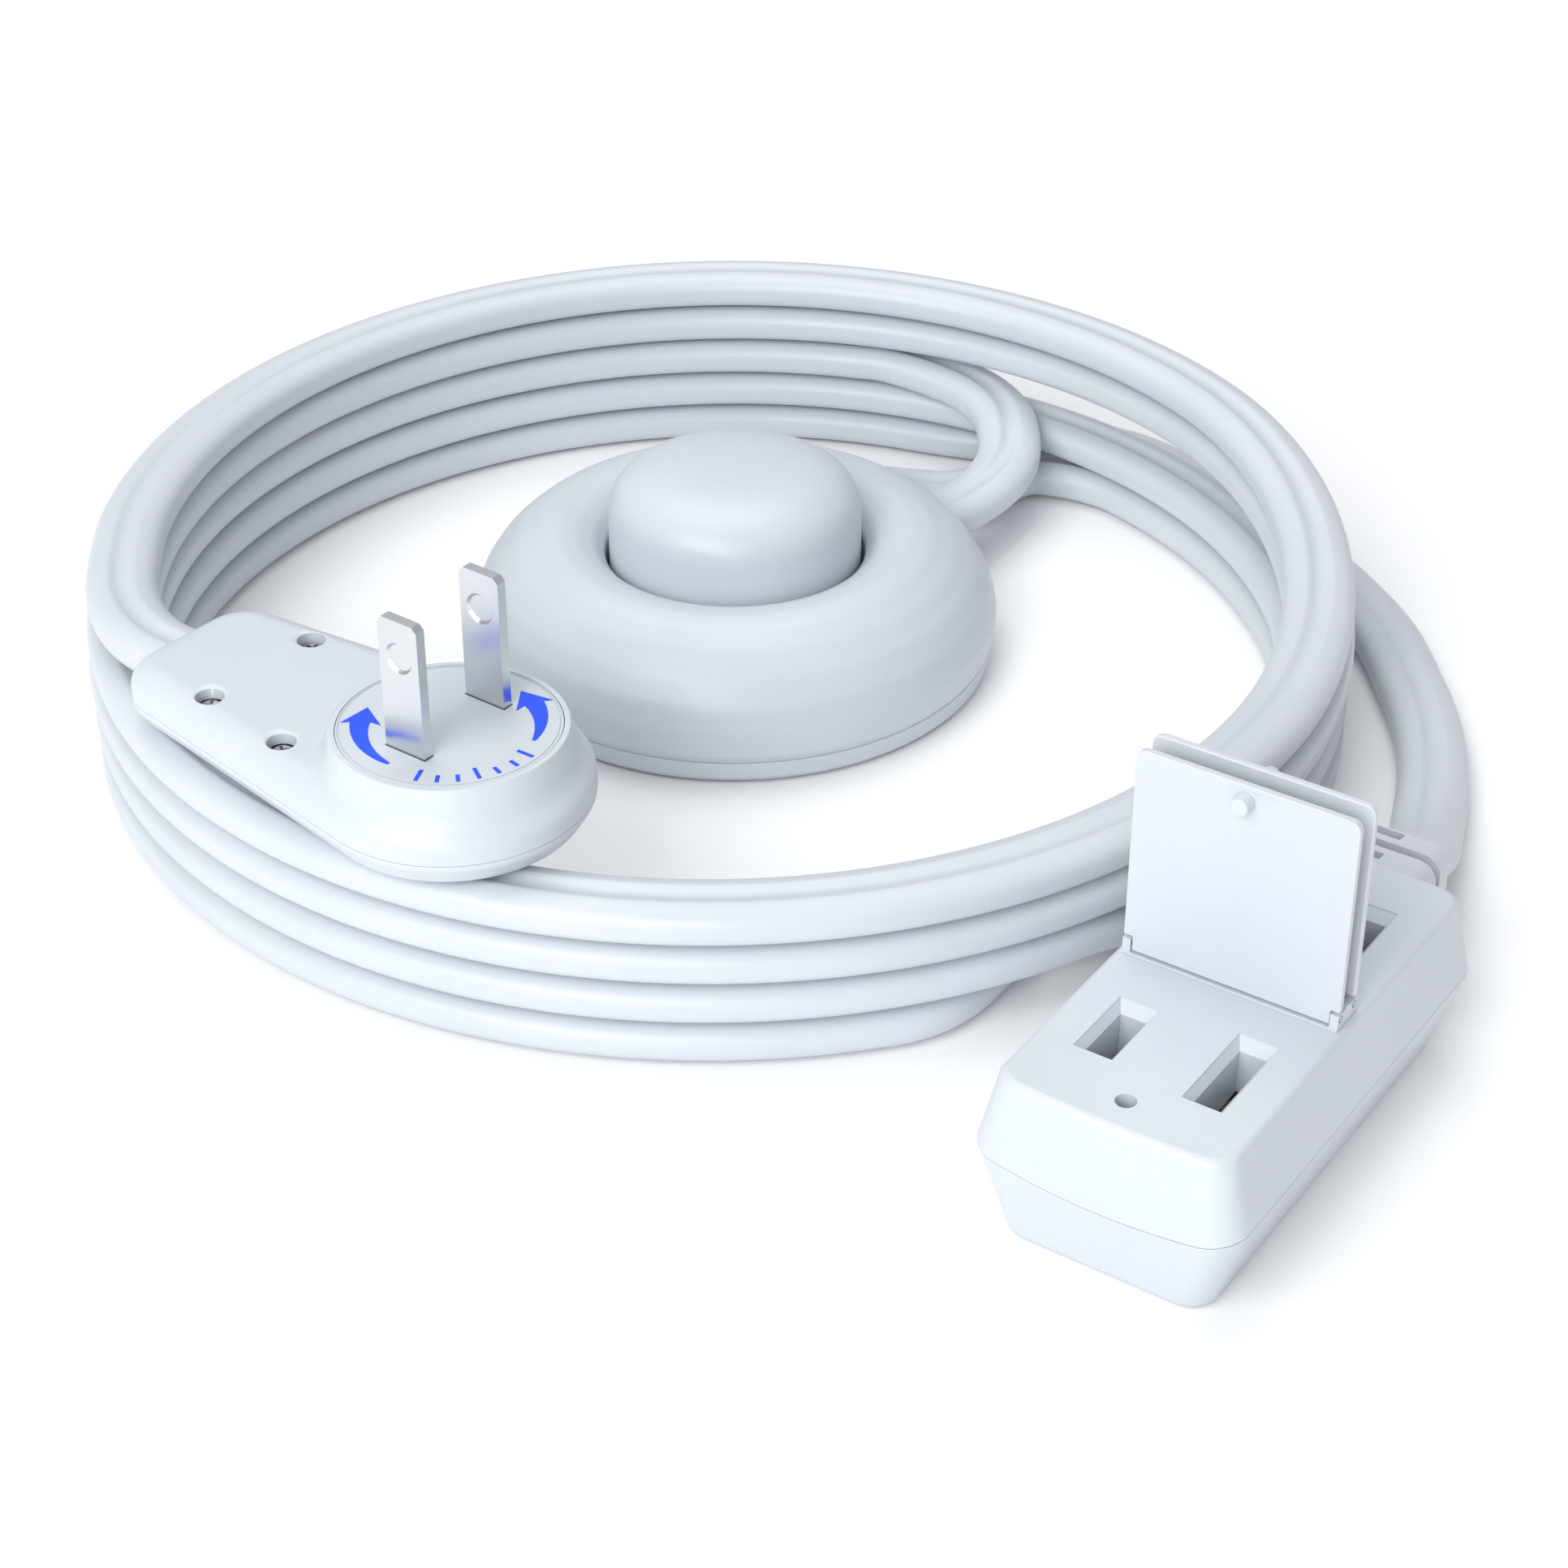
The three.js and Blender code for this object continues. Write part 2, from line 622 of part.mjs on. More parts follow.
function returnSpring() {
  const turns = 5;
  const [z0, z1, radius, wire] = [4.0, 21.7, 3.5, 0.35];
  const points = Array.from({ length: turns * 8 + 1 }, (_, i) => {
    const angle = (i * Math.PI) / 4;
    return [radius * Math.cos(angle), radius * Math.sin(angle), z0 + ((z1 - z0) * i) / (turns * 8)];
  });
  return conductor(points, wire, turns * 12);
}

// A brass strip on the base: a raised wiping end under the bridge and a hole for the terminal screw.
function fixedContact(side) {
  const floor = SWITCH_SEAM_Z + GAP;
  const upright = box([11.0, -1.5, floor], [11.6, 1.5, 10.1]);
  const foot = box([11.0, -2.2, floor], [TERMINAL_RADIUS + 2.2, 2.2, floor + 0.4]);
  const strip = cut(join(upright, foot), bar(1.3, 3, 6, TERMINAL_RADIUS, 0, 16));
  return side < 0 ? strip.rotateZ(Math.PI) : strip;
}

// Conductors inside the housing: two to the terminals and one that runs straight through.
const conductorAngle = 4.2; // degrees, from the middle of a port to each conductor at its inner end
const switchWires = {
  switch_wire_in: [
    aroundSwitch(SWITCH_PORTS[0] - conductorAngle, 28.4, SWITCH_PORT_Z),
    aroundSwitch(28, 26.4, 5.8),
    aroundSwitch(18, 24.0, 5.1),
    [22.2, 3.4, 4.9],
  ],
  switch_wire_through: [
    aroundSwitch(SWITCH_PORTS[0] + conductorAngle, 28.4, SWITCH_PORT_Z),
    aroundSwitch(47.5, 27.0, SWITCH_PORT_Z),
    aroundSwitch(52.5, 27.0, SWITCH_PORT_Z),
    aroundSwitch(SWITCH_PORTS[1] - conductorAngle, 28.4, SWITCH_PORT_Z),
  ],
  switch_wire_out: [
    aroundSwitch(SWITCH_PORTS[1] + conductorAngle, 28.4, SWITCH_PORT_Z),
    aroundSwitch(71, 23.4, 5.6),
    aroundSwitch(90, 19.8, 5.0),
    aroundSwitch(120, 20.4, 5.0),
    aroundSwitch(150, 21.6, 5.0),
    [-22.2, 3.4, 4.9],
  ],
};

// ---- Outlet block --------------------------------------------------------------------------------------

function blockOutline([halfWidth, halfLength], inset, radius) {
  return roundedOutline(halfWidth - inset, halfLength - inset, Math.max(radius - inset, 0.4));
}

const blockScrews = [
  [0, 16.0],
  [0, -16.0],
];

function reliefTool(grow) {
  return box([-5 - grow, 24, RELIEF_Z - 3.4 - grow], [5 + grow, 30, RELIEF_Z + 2.6 + grow]);
}

function blockBottomShell() {
  const seam = BLOCK_EQUATOR_Z;
  const shell = hull(
    [blockOutline(BLOCK_FOOT, 1.2, 2.4), 0],
    [blockOutline(BLOCK_FOOT, 0, 3.0), 1.2],
    [blockOutline(BLOCK_EQUATOR, 0.1, 3.6), seam],
  );
  const hollow = hull(
    [blockOutline(BLOCK_FOOT, BLOCK_WALL, 3.0), 1.8],
    [blockOutline(BLOCK_EQUATOR, BLOCK_WALL, 3.6), seam + 1],
  );
  const posts = blockScrews.map(([x, y]) => bar(3.0, 1.0, 9.0, x, y, 16));
  const holes = blockScrews.flatMap(([x, y]) => [bar(1.3, -1, 12, x, y, 16), bar(2.3, -1, 3.0, x, y, 16)]);
  return cut(join(cut(shell, hollow), ...posts), ...holes, reliefTool(GAP));
}

// A narrow and a wide contact slot for each outlet, each with a bevelled mouth.
function slotTools() {
  return [-1, 1].flatMap((end) =>
    [[-1, NARROW_SLOT_LENGTH], [1, WIDE_SLOT_LENGTH]].flatMap(([side, length]) => {
      const x = (side * BLADE_SPACING) / 2;
      const y = end * SLOT_Y;
      const halfWidth = SLOT_WIDTH / 2;
      const hole = box([x - halfWidth, y - length / 2, 0], [x + halfWidth, y + length / 2, 40]);
      const mouth = hull(
        [roundedOutline(halfWidth, length / 2, 0.3, 1), BLOCK_HEIGHT - 1.3],
        [roundedOutline(halfWidth + 1.0, length / 2 + 1.6, 0.3, 1), BLOCK_HEIGHT + 0.3],
      ).translate(x, y, 0);
      return [hole, mouth];
    }),
  );
}

function blockTopShell() {
  const seam = BLOCK_EQUATOR_Z + GAP;
  const shell = hull(
    [blockOutline(BLOCK_EQUATOR, 0, 3.6), seam],
    [blockOutline(BLOCK_EQUATOR, 0.1, 3.6), seam + 0.9],
    [blockOutline(BLOCK_TOP, 0, 2.4), BLOCK_HEIGHT - 0.5],
    [blockOutline(BLOCK_TOP, 0.6, 2.0), BLOCK_HEIGHT],
  );
  const hollow = hull(
    [blockOutline(BLOCK_EQUATOR, BLOCK_WALL, 3.6), seam - 1],
    [blockOutline(BLOCK_TOP, BLOCK_WALL, 2.4), BLOCK_HEIGHT - BLOCK_WALL],
  );
  const posts = blockScrews.map(([x, y]) => bar(2.4, seam, BLOCK_HEIGHT - 1, x, y, 16));
  const pilots = blockScrews.map(([x, y]) => bar(1.05, 10, 15, x, y, 16));
  const latches = [-1, 1].map((end) => bar(LATCH_HOLE_RADIUS, 17.2, 25, 0, end * LATCH_HOLE_Y, 20));
  return cut(join(cut(shell, hollow), ...posts), ...pilots, ...latches, ...slotTools(), reliefTool(GAP));
}

// A brass bus with a folded clip under each outlet's slot.
function busBar(side) {
  const x = (side * BLADE_SPACING) / 2;
  const floor = 1.8 + GAP;
  const strip = box([x - 2.4, -21, floor], [x + 2.4, 21, floor + 0.6]);
  const clips = [-1, 1].map((end) => {
    const leaves = box([x - 2.0, end * SLOT_Y - 3.6, floor], [x + 2.0, end * SLOT_Y + 3.6, 16.2]);
    const throat = box([x - 0.9, end * SLOT_Y - 4, floor + 1.2], [x + 0.9, end * SLOT_Y + 4, 17]);
    return cut(leaves, throat);
  });
  return join(strip, ...clips);
}

function hingeBar() {
  const halfWidth = FLAP_WIDTH / 2;
  const floor = BLOCK_HEIGHT + GAP;
  const rib = box([-halfWidth, -0.3, floor], [halfWidth, 0.3, 21.6]);
  const knuckles = [-1, 1].flatMap((end) =>
    [-1, 1].map((side) => {
      const inner = halfWidth - KNUCKLE_WIDTH;
      const [x0, x1] = side > 0 ? [inner, halfWidth] : [-halfWidth, -inner];
      const y = end * FLAP_AXIS_Y;
      return box([x0, Math.min(0, y + end * 1.1), floor], [x1, Math.max(0, y + end * 1.1), 21.6]);
    }),
  );
  const bores = [-1, 1].map((end) => hingeRod(HINGE_BORE_RADIUS, 15, end));
  return cut(join(rib, ...knuckles), ...bores);
}

function hingeRod(radius, halfLength, end) {
  return new THREE.CylinderGeometry(radius, radius, 2 * halfLength, 12)
    .rotateZ(Math.PI / 2)
    .translate(0, end * FLAP_AXIS_Y, FLAP_AXIS_Z);
}

// A cover standing upright on its hinge: a thin plate, a barrel round the hinge pin, and the latch pin.
function flap(end) {
  const half = FLAP_WIDTH / 2;
  const barrelHalf = half - KNUCKLE_WIDTH - GAP;
  const plateFoot = FLAP_AXIS_Z + 1.6;
  const [y0, y1] = [-FLAP_THICKNESS / 2, FLAP_THICKNESS / 2];
  const top = FLAP_AXIS_Z + FLAP_REACH;
  const plate = new THREE.ExtrudeGeometry(
    new THREE.Shape(flapOutline(half, plateFoot, top).map(([x, z]) => new THREE.Vector2(x, z))),
    { depth: FLAP_THICKNESS, bevelEnabled: false },
  ).rotateX(Math.PI / 2).translate(0, y1, 0);
  const web = box([-barrelHalf, y0, FLAP_AXIS_Z + 0.7], [barrelHalf, y1, plateFoot + 1]);
  const barrel = new THREE.CylinderGeometry(BARREL_RADIUS, BARREL_RADIUS, 2 * barrelHalf, 16)
    .rotateZ(Math.PI / 2)
    .translate(0, 0, FLAP_AXIS_Z);
  const bore = new THREE.CylinderGeometry(HINGE_BORE_RADIUS, HINGE_BORE_RADIUS, 40, 12)
    .rotateZ(Math.PI / 2)
    .translate(0, 0, FLAP_AXIS_Z);
  const reach = LATCH_HOLE_Y - FLAP_AXIS_Y;
  const pinEnd = y0 - LATCH_PIN_LENGTH;
  const pin = new THREE.CylinderGeometry(LATCH_PIN_RADIUS, LATCH_PIN_RADIUS * 0.8, y1 - pinEnd - 0.2, 16)
    .translate(0, (y1 - 0.2 + pinEnd) / 2, FLAP_AXIS_Z + reach);
  const cover = cut(join(plate, web, barrel, pin), bore);
  return end < 0 ? cover.translate(0, -FLAP_AXIS_Y, 0) : cover.rotateZ(Math.PI).translate(0, FLAP_AXIS_Y, 0);
}

// The cover's face: square at the hinge, with its two free corners cut.
function flapOutline(half, foot, top) {
  const corner = 1.2;
  return [
    [-half, foot],
    [half, foot],
    [half, top - corner],
    [half - corner, top],
    [-half + corner, top],
    [-half, top - corner],
  ];
}

// The flexible sleeve where the cord enters the block, slotted from alternate sides down to its core.
function strainRelief() {
  const middle = RELIEF_Z + 0.4;
  const root = roundedOutline(7.6, 6.4, 2.2);
  const end = roundedOutline(6.7, 5.4, 2.2);
  const body = hull([root, 0], [end, RELIEF_END - RELIEF_START]).rotateX(-Math.PI / 2);
  body.translate(0, RELIEF_START, middle);
  const neck = reliefTool(0);
  const flange = box([-6.6, 23.7, RELIEF_Z - 4.6], [6.6, 25.2, RELIEF_Z + 3.8]);
  const core = box([-4.6, RELIEF_START - 1, middle - 3.2], [4.6, RELIEF_END + 1, middle + 3.2]);
  const slots = [0, 1, 2].map((i) => {
    const y = RELIEF_START + 1.6 + i * 2.7;
    const [x0, x1] = i % 2 ? [-1.5, 9] : [-9, 1.5];
    return cut(box([x0, y, 0], [x1, y + 0.9, 30]), core);
  });
  const passages = [-CONDUCTOR_OFFSET, CONDUCTOR_OFFSET].map((x) =>
    new THREE.CylinderGeometry(1.2, 1.2, 30, 16).translate(x, RELIEF_START, RELIEF_Z - 0.6),
  );
  return cut(join(body, neck, flange), ...slots, ...passages);
}

// A conductor from the strain relief down to the end of its bus.
function outletWire(side) {
  const bus = (side * BLADE_SPACING) / 2;
  return conductor([
    [side * CONDUCTOR_OFFSET, 23.3, RELIEF_Z - 0.6],
    [side * 3.2, 22.2, 9.0],
    [side * 5.0, 22.0, 6.2],
    [bus, 21.2, 4.2],
    [bus, 19.6, 3.9],
  ]);
}

// ---- Assembly ------------------------------------------------------------------------------------------

const extensionCord = new THREE.Group();

function add(parent, name, geometry, material) {
  const mesh = new THREE.Mesh(geometry, material);
  mesh.name = name;
  parent.add(mesh);
  return mesh;
}

function addCords() {
  add(extensionCord, "cord_coil", coiledTurns(), whiteCord);
  add(extensionCord, "cord_top_turn", cord(topTurn(), 22), whiteCord);
  add(extensionCord, "cord_plug_side_lead", cord(plugSideLead, 6), whiteCord);
  add(extensionCord, "cord_outlet_side_lead", cord(outletSideLead, 6), whiteCord);
  add(extensionCord, "cord_outlet_lead", cord(outletLead, 20), whiteCord);
}

function addPlug() {
  const plug = new THREE.Group();
  plug.position.set(...PLUG_CENTRE);
  plug.rotation.z = THREE.MathUtils.degToRad(PLUG_TURN);
  extensionCord.add(plug);
  add(plug, "plug_lower_shell", plugLowerShell(), whiteShell);
  add(plug, "plug_upper_shell", plugUpperShell(), whiteShell);
  add(plug, "plug_cord_gland", plugGland(), darkPlastic);
  add(plug, "plug_slip_ring", slipRing(), brass);
  add(plug, "plug_centre_contact", centreContact(), brass);
  const line = [[36.4, CONDUCTOR_OFFSET, 3.4], [27, 3.2, 3.2], [18, 0.9, 2.9], [12.2, 0, 2.9]];
  const neutral = [[36.4, -CONDUCTOR_OFFSET, 3.4], [27, -3.4, 3.2], [18, -5.4, 2.9], [10.9, -6.2, 2.7]];
  add(plug, "plug_line_wire", conductor(line), wireInsulation);
  add(plug, "plug_neutral_wire", conductor(neutral), wireInsulation);
  PLUG_SCREWS.forEach(([x, y], i) => {
    const mesh = add(plug, `plug_screw_${i + 1}`, screw(1.35, 0.9, 0.75, 1.2, 5.95), steel);
    mesh.position.set(x, y, 0);
    mesh.rotation.z = 0.6 + i;
  });
  const turntable = new THREE.Group();
  turntable.rotation.z = THREE.MathUtils.degToRad(BLADE_TURN);
  plug.add(turntable);
  add(turntable, "plug_rotating_disc", rotatingDisc(), greyDisc);
  add(turntable, "plug_retaining_ring", tube(HUB_RADIUS - 0.45, 11.0, 4.6, 5.3), steel);
  add(turntable, "plug_blade_line", lineBlade(), nickel);
  add(turntable, "plug_blade_neutral", neutralBlade(), nickel);
}

function addSwitch() {
  add(extensionCord, "switch_pad", bar(PAD_RADIUS, 0, PAD_THICKNESS, 0, 0, 48), softPad);
  add(extensionCord, "switch_base", switchBase(), whiteShell);
  add(extensionCord, "switch_housing", switchHousing(), whiteShell);
  add(extensionCord, "switch_button", footButton(), whiteShell);
  add(extensionCord, "switch_button_stem", buttonStem(), darkPlastic);
  add(extensionCord, "switch_return_spring", returnSpring(), steel);
  add(extensionCord, "switch_ratchet_rotor", ratchetRotor(), darkPlastic);
  add(extensionCord, "switch_contact_bridge", contactBridge(), brass);
  SWITCH_PORTS.forEach((_, i) => {
    add(extensionCord, `switch_grommet_${i + 1}`, portGrommet(i), whiteCord);
  });
  [1, -1].forEach((side, i) => {
    add(extensionCord, `switch_fixed_contact_${i + 1}`, fixedContact(side), brass);
    const name = `switch_terminal_screw_${i + 1}`;
    const terminal = add(extensionCord, name, screw(1.8, 0.9, 0.9, 3.5, 5.1), steel);
    terminal.position.set(side * TERMINAL_RADIUS, 0, 0);
  });
  Object.entries(switchWires).forEach(([name, points]) => {
    add(extensionCord, name, conductor(points, CONDUCTOR_RADIUS, points.length * 2), wireInsulation);
  });
  switchScrewPlaces().forEach(([x, y], i) => {
    const mesh = add(extensionCord, `switch_screw_${i + 1}`, screw(2.0, 0.7, 0.75, 1.6, 10.4), steel);
    mesh.geometry.rotateX(Math.PI).translate(0, 0, 12.0);
    mesh.position.set(x, y, 0);
  });
}

function addBlock() {
  const block = new THREE.Group();
  block.position.set(BLOCK_CENTRE[0], BLOCK_CENTRE[1], 0);
  block.rotation.z = THREE.MathUtils.degToRad(BLOCK_TURN);
  extensionCord.add(block);
  add(block, "outlet_bottom_shell", blockBottomShell(), whiteShell);
  add(block, "outlet_top_shell", blockTopShell(), whiteShell);
  add(block, "outlet_bus_line", busBar(1), brass);
  add(block, "outlet_bus_neutral", busBar(-1), brass);
  add(block, "outlet_strain_relief", strainRelief(), whiteCord);
  add(block, "outlet_hinge_bar", hingeBar(), whiteShell);
  for (const [end, label] of [[-1, "near"], [1, "far"]]) {
    add(block, `outlet_hinge_pin_${label}`, hingeRod(HINGE_PIN_RADIUS, FLAP_WIDTH / 2, end), steel);
    add(block, `outlet_flap_${label}`, flap(end), whiteShell);
  }
  add(block, "outlet_wire_line", outletWire(1), wireInsulation);
  add(block, "outlet_wire_neutral", outletWire(-1), wireInsulation);
  blockScrews.forEach(([x, y], i) => {
    const mesh = add(block, `outlet_screw_${i + 1}`, screw(2.0, 0.8, 0.75, 0, 13.6), steel);
    mesh.geometry.rotateX(Math.PI).translate(0, 0, 14.4);
    mesh.position.set(x, y, 0);
  });
}

addCords();
addPlug();
addSwitch();
addBlock();

export default extensionCord;
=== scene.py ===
import json
import math

import bmesh
import bpy
from mathutils import Euler, Matrix, Vector


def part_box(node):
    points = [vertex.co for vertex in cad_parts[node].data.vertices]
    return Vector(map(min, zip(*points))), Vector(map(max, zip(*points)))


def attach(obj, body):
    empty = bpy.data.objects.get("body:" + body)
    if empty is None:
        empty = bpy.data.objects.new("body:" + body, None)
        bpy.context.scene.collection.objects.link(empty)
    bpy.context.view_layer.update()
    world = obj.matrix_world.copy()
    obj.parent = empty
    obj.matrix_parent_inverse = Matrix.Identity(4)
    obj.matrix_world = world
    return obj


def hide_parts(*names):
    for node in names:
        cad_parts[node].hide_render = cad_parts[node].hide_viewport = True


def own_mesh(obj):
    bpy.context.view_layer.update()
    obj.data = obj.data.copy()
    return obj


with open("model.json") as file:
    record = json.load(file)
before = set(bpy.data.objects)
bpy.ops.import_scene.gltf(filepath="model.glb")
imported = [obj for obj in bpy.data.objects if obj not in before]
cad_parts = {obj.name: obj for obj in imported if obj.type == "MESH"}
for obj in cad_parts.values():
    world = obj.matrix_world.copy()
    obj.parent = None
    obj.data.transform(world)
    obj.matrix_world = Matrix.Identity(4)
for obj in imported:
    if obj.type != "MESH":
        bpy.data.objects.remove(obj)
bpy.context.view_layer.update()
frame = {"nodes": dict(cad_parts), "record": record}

MM = 0.001
SEAM_GAP = 0.06  # between two shells, and between the disc and its rim
UP = Vector((0, 0, 1))
scene = bpy.context.scene

# ---- Places, in millimetres, from the frame ------------------------------------------------------------

mounts = {mount["name"]: Vector(mount["pos_m"]) / MM for mount in frame["record"]["mounts"]}


def middle(node):
    low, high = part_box(node)
    return (Vector(low) + Vector(high)) / (2 * MM)


def placed(origin, along):
    """A frame whose local X points along the level direction given."""
    turn = math.atan2(along.y, along.x)
    return Matrix.Translation(origin) @ Matrix.Rotation(turn, 4, "Z")


disc_top = mounts["plug_face"]
PLUG_TOP = 11.0
plug_origin = disc_top - PLUG_TOP * UP
plug_tail = (middle("plug_screw_1") + middle("plug_screw_2")) / 2 - disc_top
plug_at = placed(plug_origin, plug_tail)
blade_line = middle("plug_blade_line") - disc_top
disc_at = placed(plug_origin, Vector((blade_line.y, -blade_line.x, 0)))

block_origin = mounts["outlet_base"]
block_reach = middle("outlet_screw_1") - middle("outlet_screw_2")
block_at = placed(block_origin, Vector((block_reach.y, -block_reach.x, 0)))
switch_at = Matrix.Identity(4)

# ---- Camera ------------------------------------------------------------------------------------------------


def add_camera():
    """A camera in front of the coil, looking down on it at the photograph's angle."""
    data = bpy.data.cameras.new("camera")
    data.lens = 74.3
    data.sensor_width = 36
    data.clip_start = 0.01
    camera = bpy.data.objects.new("camera", data)
    camera.location = (0.0062, -0.3605, 0.2155)
    camera.rotation_euler = Euler((math.radians(56.71), 0, 0))
    scene.collection.objects.link(camera)
    scene.camera = camera


add_camera()

# ---- Materials ---------------------------------------------------------------------------------------------


def procedural(name, low, high, roughness, metallic=0.0, scale=60, bump=0.02, coat=0.0, scatter=0.0):
    """A surface whose colour and roughness vary a little with a fine noise, with a slight grain."""
    made = bpy.data.materials.new(name)
    made.use_nodes = True
    nodes, links = made.node_tree.nodes, made.node_tree.links
    shader = nodes["Principled BSDF"]
    place = nodes.new("ShaderNodeTexCoord")
    cloud = nodes.new("ShaderNodeTexNoise")
    cloud.inputs["Scale"].default_value = scale
    cloud.inputs["Detail"].default_value = 4
    links.new(place.outputs["Object"], cloud.inputs["Vector"])
    tint = nodes.new("ShaderNodeValToRGB")
    for element, position, colour in zip(tint.color_ramp.elements, (0.3, 0.7), (low, high)):
        element.position = position
        element.color = (*colour, 1)
    links.new(cloud.outputs["Fac"], tint.inputs["Fac"])
    links.new(tint.outputs["Color"], shader.inputs["Base Color"])
    polish = nodes.new("ShaderNodeMapRange")
    polish.inputs["To Min"].default_value = roughness - 0.04
    polish.inputs["To Max"].default_value = roughness + 0.05
    links.new(cloud.outputs["Fac"], polish.inputs["Value"])
    links.new(polish.outputs["Result"], shader.inputs["Roughness"])
    grain = nodes.new("ShaderNodeTexNoise")
    grain.inputs["Scale"].default_value = scale * 40
    grain.inputs["Detail"].default_value = 2
    links.new(place.outputs["Object"], grain.inputs["Vector"])
    relief = nodes.new("ShaderNodeBump")
    relief.inputs["Strength"].default_value = bump
    relief.inputs["Distance"].default_value = 0.0002
    links.new(grain.outputs["Fac"], relief.inputs["Height"])
    links.new(relief.outputs["Normal"], shader.inputs["Normal"])
    shader.inputs["Metallic"].default_value = metallic
    shader.inputs["Coat Weight"].default_value = coat
    shader.inputs["Coat Roughness"].default_value = 0.15
    shader.inputs["Subsurface Weight"].default_value = scatter
    shader.inputs["Subsurface Scale"].default_value = 0.002
    return made


looks = {
    "white_shell": procedural("shell_plastic", (0.565, 0.60, 0.645), (0.59, 0.625, 0.67), 0.36, scatter=0.08),
    "grey_disc": procedural("disc_plastic", (0.555, 0.59, 0.635), (0.575, 0.61, 0.655), 0.40, scatter=0.06),
    "white_cord": procedural("cord_sheath", (0.565, 0.60, 0.64), (0.59, 0.62, 0.665), 0.38, scatter=0.08),
    "dark_plastic": procedural("dark_plastic", (0.05, 0.05, 0.055), (0.07, 0.07, 0.075), 0.5),
    "wire_insulation": procedural("wire_insulation", (0.5, 0.52, 0.55), (0.56, 0.58, 0.6), 0.5),
    "soft_pad": procedural("soft_pad", (0.30, 0.32, 0.34), (0.36, 0.38, 0.40), 0.85, bump=0.2),
    "nickel": procedural("nickel", (0.64, 0.66, 0.69), (0.70, 0.72, 0.74), 0.26, metallic=1.0, bump=0.01),
    "brass": procedural("brass_strip", (0.60, 0.55, 0.46), (0.68, 0.62, 0.52), 0.34, metallic=1.0),
    "steel": procedural("zinc_steel", (0.45, 0.46, 0.48), (0.55, 0.56, 0.58), 0.28, metallic=1.0),
    "ink": procedural("blue_ink", (0.004, 0.065, 0.78), (0.008, 0.08, 0.86), 0.6),
}
for entry in frame["record"]["subparts"]:
    node = frame["nodes"][entry["node"]]
    node.data.materials.clear()
    node.data.materials.append(looks[entry["material_slot"]])

# ---- Mesh work ---------------------------------------------------------------------------------------------


def mesh_object(name, verts, faces):
    """A linked object with welded points and faces that look outward."""
    data = bpy.data.meshes.new(name)
    data.from_pydata([tuple(v) for v in verts], [], faces)
    data.validate()
    made = bpy.data.objects.new(name, data)
    scene.collection.objects.link(made)
    shape = bmesh.new()
    shape.from_mesh(data)
    bmesh.ops.remove_doubles(shape, verts=shape.verts, dist=1e-4)
    bmesh.ops.recalc_face_normals(shape, faces=shape.faces)
    shape.to_mesh(data)
    shape.free()
    return made


def loft(name, rings, open_end=False):
    """Quads between rings of equal length, and a face over the first and, unless open_end, the last."""
    verts = [point for ring in rings for point in ring]
    count = len(rings[0])
    faces = []
    for low in range(0, len(verts) - count, count):
        for j in range(count):
            k = (j + 1) % count
            faces.append((low + j, low + k, low + count + k, low + count + j))
    faces.append(tuple(range(count)))
    if not open_end:
        faces.append(tuple(range(len(verts) - count, len(verts))))
    return mesh_object(name, verts, faces)


def lathe(name, profile, sides=128):
    """A closed profile of (radius, z) turned about Z. It may start and end on the axis."""
    tiny = 1e-6
    on_axis = profile[0][0] < tiny and profile[-1][0] < tiny
    verts, faces = [], []
    for r, z in profile:
        for j in range(sides):
            angle = math.tau * j / sides
            verts.append((r * math.cos(angle), r * math.sin(angle), z))
    spans = len(profile) - 1 if on_axis else len(profile)
    for i in range(spans):
        low, high = i * sides, ((i + 1) % len(profile)) * sides
        for j in range(sides):
            k = (j + 1) % sides
            corners = [low + j, low + k, high + k, high + j]
            if profile[i][0] < tiny:
                corners = [low, high + k, high + j]
            elif profile[(i + 1) % len(profile)][0] < tiny:
                corners = [low + j, low + k, high]
            faces.append(tuple(corners))
    return mesh_object(name, verts, faces)


def filleted(points, steps=6):
    """A polyline whose inner points (x, y, radius) become arcs."""
    result = []
    for i, point in enumerate(points):
        radius = point[2] if len(point) > 2 else 0
        here = Vector(point[:2])
        if not radius or i in (0, len(points) - 1):
            result.append((here.x, here.y))
            continue
        before = (Vector(points[i - 1][:2]) - here).normalized()
        after = (Vector(points[i + 1][:2]) - here).normalized()
        half = before.angle(after) / 2
        reach = radius / math.tan(half)
        centre = here + (before + after).normalized() * (radius / math.sin(half))
        start = here + before * reach - centre
        end = here + after * reach - centre
        for k in range(steps + 1):
            swung = start.normalized().slerp(end.normalized(), k / steps) * radius
            result.append((centre.x + swung.x, centre.y + swung.y))
    return result


def box(low, high):
    """A box given by its lowest and highest corners."""
    corners = ((low[0], low[1]), (high[0], low[1]), (high[0], high[1]), (low[0], high[1]))
    return loft("tool", [[(x, y, z) for x, y in corners] for z in (low[2], high[2])])


def bar(radius, z0, z1, x=0.0, y=0.0, sides=48, end_radius=None):
    """A round bar along Z, tapering to end_radius at z1 where that is given."""
    angles = [math.tau * j / sides for j in range(sides)]
    return loft("tool", [[(x + r * math.cos(a), y + r * math.sin(a), z) for a in angles]
                         for r, z in ((radius, z0), (end_radius or radius, z1))])


def moved(obj, matrix):
    obj.data.transform(matrix)
    return obj


def along_x(obj, x, y, z):
    """Lays a bar made along Z along X instead, and moves it."""
    return moved(obj, Matrix.Translation((x, y, z)) @ Matrix.Rotation(math.pi / 2, 4, "Y"))


